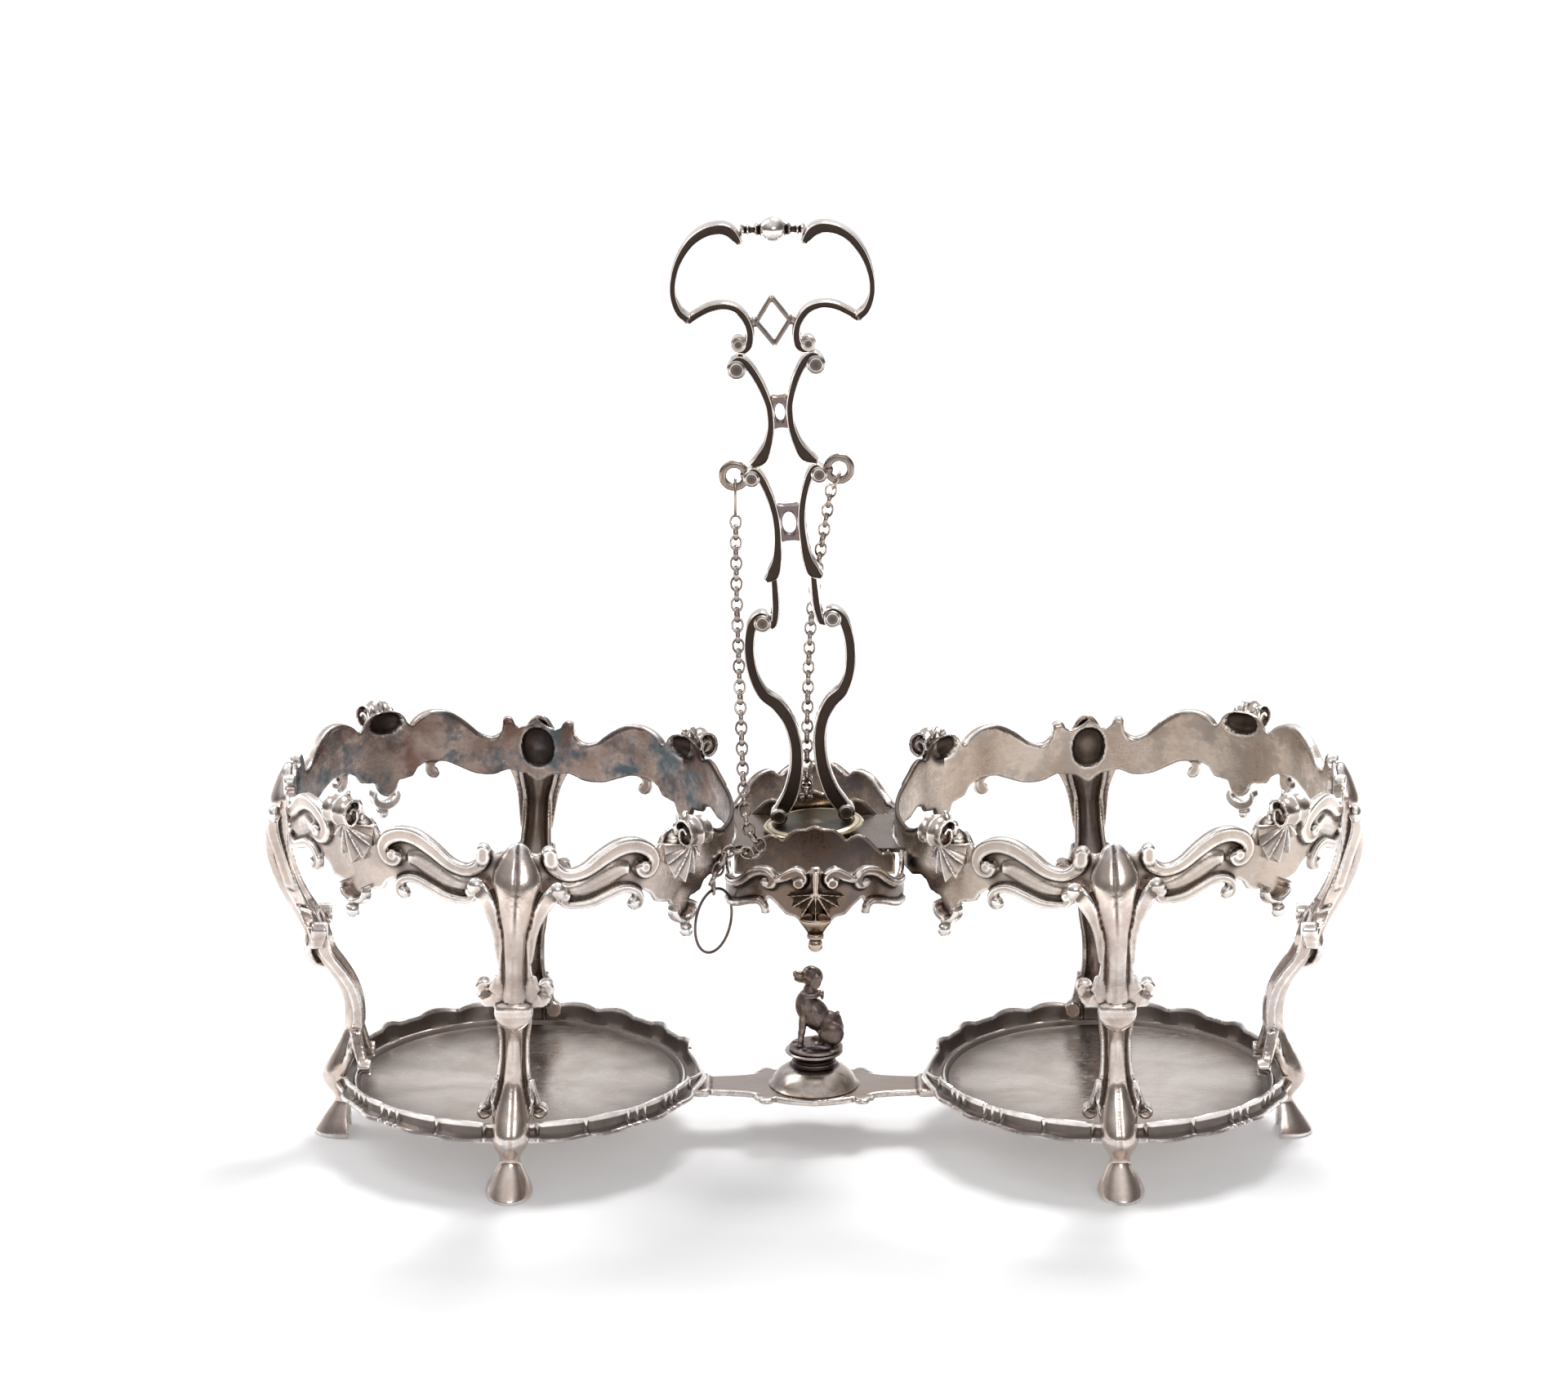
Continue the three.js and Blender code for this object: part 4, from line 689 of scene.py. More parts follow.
# Radius, height, and shares of the rise, of the outward push and of the hollow that the ridges fill
RIM_PROFILE = [
    (43.3, 15.3, 0, 0, 0), (43.7, 15.8, 0, 0, 0), (44.2, 16.3, 0, 0, 0), (44.8, 16.3, 0, 0, 0),
    (45.2, 15.9, 0, 0, 0), (45.9, 16.1, 0.1, 0, 0), (46.5, 17, 0.35, 0.3, 0), (47, 18.3, 0.7, 0.7, 0),
    (47.3, 19.2, 1, 1, 0), (47.6, 19.6, 1, 1, 0), (48.2, 19.5, 1, 1, 0.2), (48.1, 18.8, 0.85, 1, 0.8),
    (47.6, 17.8, 0.5, 0.9, 1), (47.8, 16.9, 0.2, 0.8, 1), (48.6, 16.4, 0, 0.8, 0.5),
    (49.3, 16.2, 0, 0.8, 0.1), (49.5, 15.6, 0, 0.8, 0), (49.1, 15.1, 0, 0.6, 0), (47.4, 14.6, 0, 0.2, 0),
    (45.6, 14.3, 0, 0, 0),
]


def rim_shape(angle):
    """Rise, outward push and ridge of the rim at an angle from the front leg; its quarters are mirrored."""
    a = abs((angle + 180) % 360 - 180)
    quarter = min(a, 180 - a)
    start = 0
    for kind, width in RIM_PARTS:
        if quarter <= start + width:
            t = (quarter - start) / width
            near = min(t, 1 - t) * width
            ridge = max(0, 1 - near / 0.75)
            arch = math.sin(math.pi * t)
            if kind == "wave":
                return 0.9 * arch + 0.5, 1.3 * arch - 0.7, ridge
            if kind == "rib":
                return 0.6, 0.2 * arch - 0.6, ridge
            if kind == "flat":
                return 0.3, -1, ridge * min(1, t * 2)
            return 0.5 - 2.6 * t ** 0.6, 2.3 * t - 0.7, ridge * (1 - t) ** 2
        start += width
    return -2.1, 1.6, 0


def plate_mesh():
    turn = full_turn(1080)
    rows = [[(r * math.cos(a), r * math.sin(a), PLATE_FLOOR) for a in turn]
            for r in (0.05, 10, 20, 30, 38, 42.4)]
    shapes = [rim_shape(math.degrees(a) + 90) for a in turn]
    for r, z, rises, pushes, hollow in RIM_PROFILE:
        row = []
        for a, (rise, push, ridge) in zip(turn, shapes):
            reach = r + pushes * push + (0.7 * hollow + 0.25 * pushes) * ridge
            row.append((reach * math.cos(a), reach * math.sin(a), z + rises * (rise + 0.1 * ridge)))
        rows.append(row)
    rows += [[(r * math.cos(a), r * math.sin(a), PLATE_FLOOR - 1) for a in turn] for r in (30, 0.05)]
    return loft(rows)


points, faces = plate_mesh()
show_pair("dish_{}", "plate_{}", points + np.array([PLATE_X, 0, 0]), faces, SHEET, "sheet_silver", sharp=35)


# Bridge and plinth. A flat cast bar with a round middle, four lugs and a block at each rim; a raised
# dome with a ringed neck and a flared top carries the dog.

BRIDGE_TOP = 14.0
BRIDGE_EDGE = [(0, 14.2), (6, 13), (9.4, 11.6), (11.6, 10.6), (12.6, 9.9), (14.6, 8.6), (18, 7.2), (22, 6.4),
               (26, 6), (28.4, 5.9), (28.6, 6.9), (31.2, 6.9), (32.9, 6.6)]


def bridge_bit():
    line = smooth_line(BRIDGE_EDGE, 0.6)
    rings = []
    for x, y in np.vstack([line[::-1] * np.array([-1, 1]), line[1:]]):
        y = max(y, 0.2)
        top = BRIDGE_TOP + (0.5 if abs(x) > 28.5 else 0)
        rings.append([(x, -y, BRIDGE_TOP - 1.6), (x, -y, top - 0.25), (x, -y + 0.3, top), (x, y - 0.3, top),
                      (x, y, top - 0.25), (x, y, BRIDGE_TOP - 1.6)])
    return loft(rings)


LUG = [(0.2, 12.4), (2.1, 12.5), (2.3, 13.2), (2, 13.9), (0.2, 14)]
SMALL_LUG = [(0.2, 12.5), (1.2, 12.6), (1.2, 13.7), (0.2, 13.8)]
bridge_bits = [bridge_bit()]
for sx, sy in ((-1, -1), (-1, 1), (1, -1), (1, 1)):
    bridge_bits.append(turned(LUG, 16, (sx * 12.9, sy * 11)))
    bridge_bits.append(turned(SMALL_LUG, 12, (sx * 15.2, sy * 9.4)))
show("bridge", "bridge_plate", *cast(bridge_bits, 0.4, 3), BRIDGE, "sheet_silver")

PLINTH = [(0.05, 14.05), (12.2, 14.05), (12.3, 14.3), (11.8, 14.8), (11.3, 15.6), (10.7, 16.5), (9.9, 17.4),
          (8.9, 18.3), (7.8, 19), (6.7, 19.5), (6, 19.8), (5.8, 20.1), (6, 20.4), (6, 20.7), (5.6, 21),
          (5.5, 21.4), (5.9, 22), (6.6, 22.6), (7.3, 23), (7.8, 23.3), (7.9, 23.6), (7.6, 23.9),
          (6.8, 23.95), (0.05, 23.95)]
show("plinth", "dog_plinth", *turned(PLINTH, 96), TURNED, "turned_silver", sharp=25)


# Dog. A small cast hound sitting on a rough base, its head up and to the left, a collar with a knot
# behind its neck, the forelegs straight and the haunches rounded.

# Lumps: centre, half sizes and turn; those beside the middle come in pairs
DOG = [
    ((0.2, 0, 33.9), (3.9, 3.2, 5), -28), ((-2.1, 0, 36.2), (3.1, 2.9, 4.4), -6),
    ((3.6, 0, 31), (3.6, 3.4, 3.9), 12), ((-1.1, 0, 40.2), (2.1, 2, 2.8), 4),
    ((-0.5, 0, 44.6), (3, 2.5, 2.9), 0), ((-0.9, 0, 46), (2.3, 2, 1.7), 0),
    ((-3.7, 0, 44.8), (2.3, 1.3, 1.25), 20), ((-4.8, 0, 45.4), (1.1, 1, 0.95), 20),
    ((-4, 0, 43.6), (1.6, 0.9, 0.65), 16), ((0.4, 2.3, 43.8), (1.6, 0.6, 2.2), 10),
    ((-2.3, 1.2, 46.2), (0.7, 0.55, 0.5), 0), ((-3.1, 1.7, 31.6), (1.1, 1, 4.8), 5),
    ((-3.6, 1.7, 27.4), (0.9, 0.9, 2.2), 2), ((-4.2, 1.7, 25.5), (1.5, 1, 0.7), 0),
    ((4.6, 2.7, 29.2), (3.6, 1.8, 3.5), 20), ((2, 3.6, 25.7), (2.9, 1, 0.8), 6),
    ((5.9, 0, 33.2), (0.8, 0.8, 1.9), 24), ((6.7, 0, 31), (1.1, 1.3, 3), -4),
]
ROUGH_BASE = [(0.1, 24.2), (7.3, 24.2), (7.4, 24.8), (6.8, 25.2), (4, 25.3), (0.1, 25.3)]
STONES = [(-1, -3), (0.6, 1), (-5, 2), (5, -5), (-3, -4.6), (1, 5)]
COLLAR_WIRE = 0.4
dog_bits = []
for (x, y, z), size, turn in DOG:
    for side in (-1, 1) if y else (1,):
        dog_bits.append(lump((x, side * y, z), size, turn))
dog_bits.append(turned(ROUGH_BASE, 40, (0.5, 0)))
dog_bits += [lump((x, y, 25.2), (1.1, 0.9, 0.4)) for x, y in STONES]
for height, radius in ((39.3, 2.45), (40.1, 2.35)):
    rings = []
    for a in full_turn(28):
        x, y, z = radius * math.cos(a) - 1.1, radius * 0.95 * math.sin(a), height + 0.1 * math.cos(a)
        rings.append([(x + COLLAR_WIRE * math.cos(b) * (x + 1.1) / radius,
                       y + COLLAR_WIRE * math.cos(b) * y / radius, z + COLLAR_WIRE * math.sin(b))
                      for b in full_turn(8)])
    dog_bits.append(loft(rings, closed=True))
dog_bits += [lump((1.9, 0, 39.9), (0.9, 1.1, 0.9)), lump((2.2, 0, 38.9), (0.5, 0.6, 0.9))]
show("hound", "dog", *cast(dog_bits, 0.24, 2), DARK, "cast_silver")


# Stopper rings. A bowed cast wall with scrolls, a hanging hook on each side and a point below the
# shell, closed towards the handle by a flat panel with a wavy top.

STOPPER_HALF = 23.0  # half the width of the oval that the wall follows
STOPPER_CENTRE = 22.0
STOPPER_REACH = 25.0
PANEL_Y = 16.0
arc_angles = np.radians(np.linspace(0, 96, 400))
arc_points = np.stack([STOPPER_HALF * np.sin(arc_angles),
                       -STOPPER_CENTRE - STOPPER_REACH * np.cos(arc_angles)], axis=1)
FRONT_POINTS = 334  # the first 80 degrees; further on x hardly grows
arc_length = np.concatenate([[0], np.cumsum(np.linalg.norm(np.diff(arc_points, axis=0), axis=1))])


def unrolled(points):
    """Turns (x as seen from the front, ...) into (distance along the wall, ...)."""
    reach, length = arc_points[:FRONT_POINTS, 0], arc_length[:FRONT_POINTS]
    return [(float(np.interp(x, reach, length)), *rest) for x, *rest in points]


def on_stopper(points):
    """Bends a flat piece round the front stopper ring."""
    reach = np.abs(points[:, 0])
    angle = np.interp(reach, arc_length, arc_angles)
    x = np.interp(reach, arc_length, arc_points[:, 0])
    y = np.interp(reach, arc_length, arc_points[:, 1])
    normal = np.stack([np.sin(angle) / STOPPER_HALF, -np.cos(angle) / STOPPER_REACH], axis=1)
    normal /= np.linalg.norm(normal, axis=1)[:, None]
    out = -points[:, 1]
    bent_x = np.sign(points[:, 0]) * (x + out * normal[:, 0])
    return np.stack([bent_x, y + out * normal[:, 1], points[:, 2]], axis=1)


STOPPER_TOP = [(0, 91), (1.1, 90.8), (1.7, 89.6), (2.6, 89.3), (3.4, 90.6), (5, 91.2), (6.4, 90.2),
               (7.8, 88.4), (9.4, 87.6), (10.4, 88.6), (11.6, 89.7), (13.6, 89.7), (15.8, 88.2), (18, 85.3),
               (20, 83), (21.6, 82.6), (22.6, 84.6), (23, 86)]
STOPPER_BOTTOM = [(0, 73.4), (3, 74.6), (4.6, 76.6), (5.2, 77.2), (7.6, 77.5), (9.6, 79.7), (12, 81.6),
                  (12.6, 80.4), (14.6, 80.2), (15.6, 79.6), (18.4, 78.4), (20.6, 76.3), (22.4, 75.6),
                  (23, 76)]
C_SCROLL = [(4.3, 86.3, 2.2), (3.2, 87.2, 2.5), (3.3, 88.8, 2.6), (4.9, 89.6, 2.7), (7, 88.5, 2.6),
            (9.4, 87, 1.6)]
SWEEP_SCROLL = [(12.4, 85, 1.8), (10.7, 85.6, 2.1), (10.5, 87.4, 2.2), (12.3, 88.9, 2.4), (15.4, 87.8, 2.6),
                (18.2, 84.6, 2.5), (20.4, 82.6, 2.3), (22, 82.6, 2)]
HOOK_SCROLL = [(12.6, 77.2, 1.8), (12.8, 79, 1.9), (14, 80.2, 1.8), (16.6, 79.4, 1.8), (19, 77.8, 1.8),
               (21, 76.6, 1.8), (22.4, 76.4, 1.6)]
wall_end = float(arc_length[-1])
top_edge = unrolled(STOPPER_TOP) + [(wall_end, 87)]
bottom_edge = unrolled(STOPPER_BOTTOM) + [(wall_end, 76.4)]
half_stopper = [between(top_edge, bottom_edge, WALL)]
for line, lift in ((C_SCROLL, 2.2), (SWEEP_SCROLL, 2), (HOOK_SCROLL, 1.8)):
    half_stopper.append(stroke(unrolled(line), lift))
for (x, z), radius, lift, dish in (((12.2, 86), 1.2, 2.4, 0), ((4, 86.9), 1.5, 2.6, 0.1)):
    half_stopper.append(boss(*unrolled([(x, z)])[0], radius, lift, dish=dish))
stopper_wall = cast(both_halves(half_stopper), 0.36)
stopper_bend = on_stopper(stopper_wall[0])

CUP = [(1.8, -9.4), (2.5, -8.4), (3.3, -7.2), (3.6, -6.9), (4.1, -6.1), (4.1, -5.6), (3.6, -5.2)]
COLLAR = [(1.2, -10.6), (2, -10.2), (2.15, -9.6), (1.9, -9), (1.2, -8.8)]
cup_points, cup_faces = turned(CUP)
centre_shell = cast([
    fan(7.2, 7.5, 2.4, math.radians(80), 3.1, 1.5),
    stroke([(0, 2, 1.9), (0, 5, 2.2), (0, 8.2, 2.1)], 3.4, round_top=True),
    (cup_points * np.array([1, 0.6, 1]), cup_faces), turned(COLLAR, 24, (0, -1)), ball_drop(-10, -14, 1),
], 0.26, 1)
shell_bend = on_stopper(centre_shell[0] + np.array([0, -WALL / 2 - 0.1, 82.4]))

STOPPER_PANEL = [(0, 92.6), (1.2, 92.2), (2.2, 91.7), (5.2, 91.5), (6.8, 90.4), (8.4, 88.4), (9.8, 89.6),
                 (11.6, 90.2), (13.6, 89.4), (16, 87), (18.2, 84.6), (19.4, 86), (20.4, 85), (21.4, 84.6)]
half_panel = [between(STOPPER_PANEL, [(0, 79), (21.4, 79)], WALL)]
panel = cast(both_halves(half_panel), 0.34, 2)
panel_points = panel[0] - np.array([0, PANEL_Y, 0])
for place, turn in (("front", 1), ("rear", -1)):
    about = np.array([turn, turn, 1])
    show(f"stopper_wall_{place}", f"stopper_ring_{place}", stopper_bend * about, stopper_wall[1], STOPPER,
         "gallery_silver")
    show(f"stopper_scallop_{place}", f"stopper_shell_{place}", shell_bend * about, centre_shell[1], CUP_SHELL,
         "cast_silver")
    show(f"panel_{place}", f"stopper_panel_{place}", panel_points * about, panel[1], PANEL, "gallery_silver")


# Handle. Two cast stems of S- and C-scrolls with pinned volutes, tied by two pierced plates, rise from
# a round foot to a grip of two bowed bars with a turned bar on top; the whole leans a little.

FOOT_X = -0.3
FOOT_Z = 88.7
HANDLE_LEAN = math.radians(3.9)
GRIP_TURN = math.radians(2.9)
GRIP_LOW = 137.0  # height at which the grip turns


def leaned(points):
    """Leans the handle, a little more above its foot."""
    c, s = math.cos(HANDLE_LEAN), math.sin(HANDLE_LEAN)
    x, y, z = points.T
    more = 0.0135 * np.clip(z - 20, 0, 105)
    return np.stack([FOOT_X + c * x - s * z - more, y, FOOT_Z + s * x + c * z], axis=1)


def straightened(points):
    """The grip stands almost upright again on the leaning stems."""
    c, s = math.cos(GRIP_TURN), math.sin(GRIP_TURN)
    x, y, z = points.T
    return np.stack([c * x + s * (z - GRIP_LOW), y, GRIP_LOW - s * x + c * (z - GRIP_LOW)], axis=1)


def bar(points, depth, groove=0.35):
    """A scroll bar seen from the front along (x, z, width), its faces hollows between raised edges, darkened
    with painted shade and tarnish.
    """
    line = smooth_line(points, 0.5)
    rings = []
    for (x, z, width), (tx, tz) in zip(line, directions(line[:, :2])):
        w, h = width / 2, depth / 2
        e = min(0.34, w * 0.35)
        half = [(-w, h - 0.3), (-w + 0.1, h - 0.05), (-w + e * 0.5, h), (-w + e, h - 0.05),
                (-w + e + 0.1, h - groove)]
        face = half + [(0, h - groove - 0.05)] + [(-a, d) for a, d in half[::-1]]
        side = [(w + 0.3 * math.cos(a), h * 0.8 * math.sin(a)) for a in np.linspace(0.9, -0.9, 5)]
        profile = face + side + [(a, -d) for a, d in face[::-1]] + [(-a, -d) for a, d in side]
        rings.append([(x - tz * a, -d, z + tx * a) for a, d in profile])
    marked_shade_and_tarnish = [0] * 4 + [0.8] * 3 + [0] * 9  # one face and one side of the profile, with painted shade and tarnish in the hollow
    return *loft(rings), np.tile(marked_shade_and_tarnish * 2, len(line))


def pin(x, z, radius, depth, face):
    """A volute's round end with a stepped pin face, front and back, and its painted shade and tarnish."""
    flat = radius * face
    # Radius, height over the bar, and painted shade and tarnish
    half = [(0.02, 0.25, 0.75), (flat * 0.8, 0.25, 0.75), (flat * 0.9, 0.25, 0), (flat, 0.05, 0.6),
            (radius * 0.92, -0.1, 0.2), (radius, -0.4, 0)]
    shape = [(r, depth / 2 + d, s) for r, d, s in half] + [(r, -depth / 2 - d, s) for r, d, s in half[::-1]]
    turn = full_turn(28)
    rings = [[(x + r * math.cos(a), -d, z + r * math.sin(a)) for a in turn] for r, d, s in shape]
    return *loft(rings), np.repeat([s for r, d, s in shape], len(turn))


def fitted(bits):
    """Puts bars, pins and plain bits together without melting their edges; gives points, faces and fields."""
    points, faces = merged([bit[:2] for bit in bits])
    marked_shade_and_tarnish = np.concatenate([bit[2] if len(bit) > 2 else np.zeros(len(bit[0])) for bit in bits])
    return points, faces, {"marked_shade_and_tarnish": marked_shade_and_tarnish}


UPPER_STEM = [(11.2, 126.6, 2.2), (9.4, 127.2, 2.4), (7.2, 125.6, 2.2), (4.7, 121, 2.1), (3, 115.8, 2),
              (2.6, 112.4, 2), (2.8, 108.4, 2.1), (4, 104, 2.5), (5.9, 100.7, 3.2), (8.6, 98.9, 1.6)]
MIDDLE_STEM = [(9.4, 97, 1.8), (8, 97.4, 2), (6.4, 95.4, 2.1), (4.8, 91.2, 2.1), (3.7, 86.5, 2.1),
               (3.3, 82, 2.1), (3.5, 77, 2.3), (4.1, 72.8, 2.8), (5.4, 69.4, 3.4), (7.4, 67.6, 1.4)]
LINK_STEM = [(5.2, 68.4, 2), (5.3, 63, 2.2), (5.5, 59.4, 2.2), (6.2, 56, 2), (7.4, 54.8, 1.6)]
LOWER_STEM = [(8, 57.8, 2), (10, 58, 2.4), (12.2, 55.4, 2.8), (13.4, 49, 2.8), (12.8, 42, 2.8),
              (10.6, 36.6, 3), (7, 33.2, 3.4), (4.4, 28.4, 3.2), (3.2, 22, 3.1), (3.6, 15, 3.4),
              (5.3, 8.8, 3.8), (7.6, 4.8, 3.8), (9.2, 3.2, 3)]
stem = fitted([
    bar(UPPER_STEM, 4.8), bar(MIDDLE_STEM, 4.8), bar(LINK_STEM, 3.8), bar(LOWER_STEM, 4.8),
    pin(10.4, 124.9, 2.6, 5.2, 0.74), pin(8.9, 95.5, 2.3, 5.2, 0.74), pin(9.3, 56.2, 2.5, 5.2, 0.7),
    pin(9, 2.5, 2.3, 5.8, 0.8),
])
show_pair("scroll_stem_{}", "stem_{}", stem[0], stem[1], HANDLE, "cast_silver", leaned, fields=stem[2])


def pierced(low, high, half, hole_x, hole_z, depth, arch):
    """A tie between the stems, pierced by an oval hole, its ends arched inwards."""
    centre = (low + high) / 2
    rings = []
    for a in full_turn(48):
        c, s = math.cos(a), math.sin(a)
        inner = (hole_x * c, centre + hole_z * s)
        reach = min(half / max(abs(c), 1e-6), (high - centre) / max(abs(s), 1e-6))
        x, z = reach * c, reach * s
        if abs(abs(z) - (high - centre)) < 1e-6:
            z -= math.copysign(arch * (1 - (x / half) ** 2), z)
        outer = (x, centre + z)
        inset = (inner[0] * 0.75 + outer[0] * 0.25, inner[1] * 0.75 + outer[1] * 0.25)
        rings.append([(inner[0], -depth / 2 + 0.3, inner[1]), (inset[0], -depth / 2, inset[1]),
                      (outer[0], -depth / 2, outer[1]), (outer[0], depth / 2, outer[1]),
                      (inset[0], depth / 2, inset[1]), (inner[0], depth / 2 - 0.3, inner[1])])
    return loft(rings, closed=True)


TIES = {"upper": (108, 117.2, 2, 1.25, 2.4, 3, 0.4), "lower": (77.4, 88, 2.9, 1.8, 3, 3, -0.5)}
for name, values in TIES.items():
    points, faces = cast([pierced(*values)], 0.25, 2)
    show(f"pierced_tie_{name}", f"tie_{name}", leaned(points), faces, DARK, "cast_silver")

GRIP_UPPER = [(8.4, 157.9, 1.6), (9.3, 159.2, 2.4), (11, 160.9, 2.9), (13.6, 161.6, 2.9), (17.4, 160.8, 2.6),
              (21.1, 158.2, 2.3), (24.1, 153.8, 2), (25.7, 148.6, 1.8), (25.8, 144, 1.8), (24.4, 140.1, 1.9),
              (22.1, 137.8, 2.1)]
GRIP_LOWER = [(22.3, 137.4, 1.9), (19.6, 139.2, 1.9), (16.2, 140.8, 2), (12.6, 141.2, 2), (9.4, 140.2, 2),
              (7.1, 137.6, 2), (6.1, 134.4, 2.1), (6.3, 131.4, 2.2), (7.6, 129.7, 2.2), (9.3, 129.6, 2)]
grip = fitted([
    bar(GRIP_UPPER, 6.4, 0.25), bar(GRIP_LOWER, 5.2), pin(9.1, 131, 2.1, 4.8, 0.6),
    lump((8.8, 0, 158.2), (1.5, 1.9, 1.2), -30), lump((22.6, 0, 137.3), (1, 2.2, 1)),
])
show_pair("bow_{}", "grip_{}", grip[0], grip[1], HANDLE, "cast_silver",
          lambda points: leaned(straightened(points)), fields=grip[2])

bar_profile = [(0.02, -8.6), (1.2, -8.5), (1.7, -8), (1.2, -7.5), (0.9, -7), (1.5, -6.6), (1.6, -6.3),
               (1, -5.9), (0.8, -5.3), (0.8, -4.9), (1.7, -4.5), (2, -4.2), (1.6, -3.9), (1.3, -3.5),
               (2, -2.9), (2.8, -2), (3.3, -0.9), (3.4, 0)]
bar_profile += [(r, -z) for r, z in bar_profile[-2::-1]]
points, faces = turned(bar_profile, 40)
points = points[:, [2, 1, 0]] * np.array([1, 1, -1]) + np.array([0.3, 0, 160.9])
show("baluster", "grip_bar", leaned(straightened(points)), faces, BALL, "turned_silver", sharp=25)

diamond = []
corners = [(0, 143.2), (4.4, 136.8), (0, 130.6), (-4.4, 136.8)]
for (x0, z0), (x1, z1) in zip(corners, corners[1:] + corners[:1]):
    diamond.append(stroke([(x0, z0, 1.15), ((x0 + x1) / 2, (z0 + z1) / 2, 1.25), (x1, z1, 1.15)], 1.5, 1.5))
diamond += [lump((side * 5.1, 0, 136.8), (1.1, 1.6, 1.4)) for side in (-1, 1)]
points, faces = cast(diamond, 0.24, 2)
show("lozenge", "grip_diamond", leaned(points), faces, DARK, "cast_silver")

FOOT = [(0.02, -9.6), (1.7, -9.6), (1.7, -1.6), (11.6, -1.55), (12.4, -1.3), (13.2, -1.2), (13.5, -0.8),
        (13.2, -0.45), (12.5, -0.5), (12, -0.15), (11.4, 0), (10.8, -0.12), (0.02, -0.1)]
points, faces = turned(FOOT, 96)
show("foot_disc", "handle_foot", leaned(points), faces, GILT, "turned_silver", sharp=25)


def ring_of(radius, section, centre, sides=56):
    """A closed ring in the x-z plane with a section of (radial, y) points."""
    rings = []
    for t in full_turn(sides):
        rings.append([(centre[0] + (radius + a) * math.cos(t), b, centre[1] + (radius + a) * math.sin(t))
                      for a, b in section])
    return loft(rings, closed=True)


EYE_SECTION = [(-0.9, -0.5), (-0.55, -0.95), (0.35, -0.95), (0.75, -0.85), (1.15, -0.4), (1.15, 0.4),
               (0.75, 0.85), (0.35, 0.95), (-0.55, 0.95), (-0.9, 0.5)]
EYE_SHIFT = 0.4
EYE_X = 13.8
EYE_Z = 96.2
for side, sign in SIDES.items():
    eye = ring_of(3, EYE_SECTION, (sign * EYE_X + EYE_SHIFT, EYE_Z))
    neck = lump((sign * 11 + EYE_SHIFT, 0, EYE_Z), (1.4, 1.1, 1.2))
    points, faces = cast([eye, neck], 0.24, 1)
    show(f"chain_eye_{side}", f"eye_{side}", leaned(points), faces, CHAIN, "turned_silver")


# Chains. Round belcher links of half-round wire, each a quarter turn from the next, hang from the
# eyes; a small ring at the end of each holds a wire loop that goes round a stopper.

LINK_SECTION = [(0.32 * math.cos(a), 0.62 * math.sin(a)) for a in full_turn(10)]
LINK_SPACING = 2.72
RING_WIRE = 0.42
LOOP_RADIUS = 8.5
LOOP_WIRE = 0.38


def frame_along(line, spacing):
    """Even places along a curve, their directions and their distance."""
    steps = np.linalg.norm(np.diff(line, axis=0), axis=1)
    length = np.concatenate([[0], np.cumsum(steps)])
    count = round(length[-1] / spacing)
    at = np.linspace(0, length[-1], count + 1)
    places = np.stack([np.interp(at, length, line[:, k]) for k in range(3)], axis=1)
    return places, directions(places), length[-1] / count


def chain(route):
    """Links in turn across and along, each stretched a little so that they hook into each other."""
    places, along, pitch = frame_along(smooth_line(route, 0.5), LINK_SPACING)
    ring_points, ring_faces = ring_of(1.43, LINK_SECTION, (0, 0), 22)
    stretch = (pitch / 2 + 0.26) / 1.28
    bits = []
    for i, (place, t) in enumerate(zip(places, along)):
        across = np.cross([0, 1, 0], t)
        across /= np.linalg.norm(across)
        third = np.cross(t, across)
        if i % 2:
            across, third = third, -across
        wobble = 0.12 * math.sin(i * 2.3)
        across, third = across + wobble * third, third - wobble * across
        basis = np.stack([across / np.linalg.norm(across), third / np.linalg.norm(third), t * stretch])
        bits.append((ring_points @ basis + place, ring_faces))
    return merged(bits)


def wire_ring(centre, radius, wire, normal, sides=48, lengthen=1.0):
    """A wire ring about a centre; lengthen stretches it upwards into a long link."""
    normal = np.array(normal, float)
    normal /= np.linalg.norm(normal)
    side = np.cross([0, 0, 1], normal)
    side = side / np.linalg.norm(side) if np.linalg.norm(side) > 0.1 else np.array([1.0, 0, 0])
    up = np.cross(normal, side)
    rings = []
    for t in full_turn(sides):
        out = side * math.cos(t) + up * math.sin(t)
        place = side * radius * math.cos(t) + up * radius * lengthen * math.sin(t)
        rings.append([np.array(centre) + place + wire * (math.cos(b) * out + math.sin(b) * normal)
                      for b in full_turn(10)])
    return loft(rings, closed=True)


EYE_LOW = leaned(np.array([[-EYE_X + EYE_SHIFT, 0, 93.2]]))[0]
HOOK_LENGTH = 9.4
hook_top = EYE_LOW[2] + 1 + 0.48 + 0.45
LEFT_ROUTE = [(EYE_LOW[0] + 0.1, -0.6, hook_top - HOOK_LENGTH - 2), (-20.6, -8, 152), (-19.6, -18, 126),
              (-18.5, -30, 102.5), (-17.2, -34, 96.6), (-14.4, -36, 93.4), (-15.2, -37.5, 91.2),
              (-18, -37, 91.8), (-21, -35.6, 92.2), (-23.4, -36, 90.6), (-26.6, -38.2, 84.9)]
RIGHT_ROUTE = [(4.2, 4.4, 178.6), (2.8, 5, 170), (0.6, 5, 156), (-1.2, 5, 140), (-1.9, 5, 118), (-2.1, 5, 98),
               (-2.1, 6.6, 93.4), (-2.1, 10, 93), (-2.1, 15.4, 95.2), (-2.1, 20.6, 94.8), (-2.1, 26.6, 89.4)]
show("belcher_left", "chain_left", *chain(LEFT_ROUTE), CHAIN, "chain_silver", "chain_left")
show("belcher_right", "chain_right", *chain(RIGHT_ROUTE), CHAIN, "chain_silver", "chain_right")
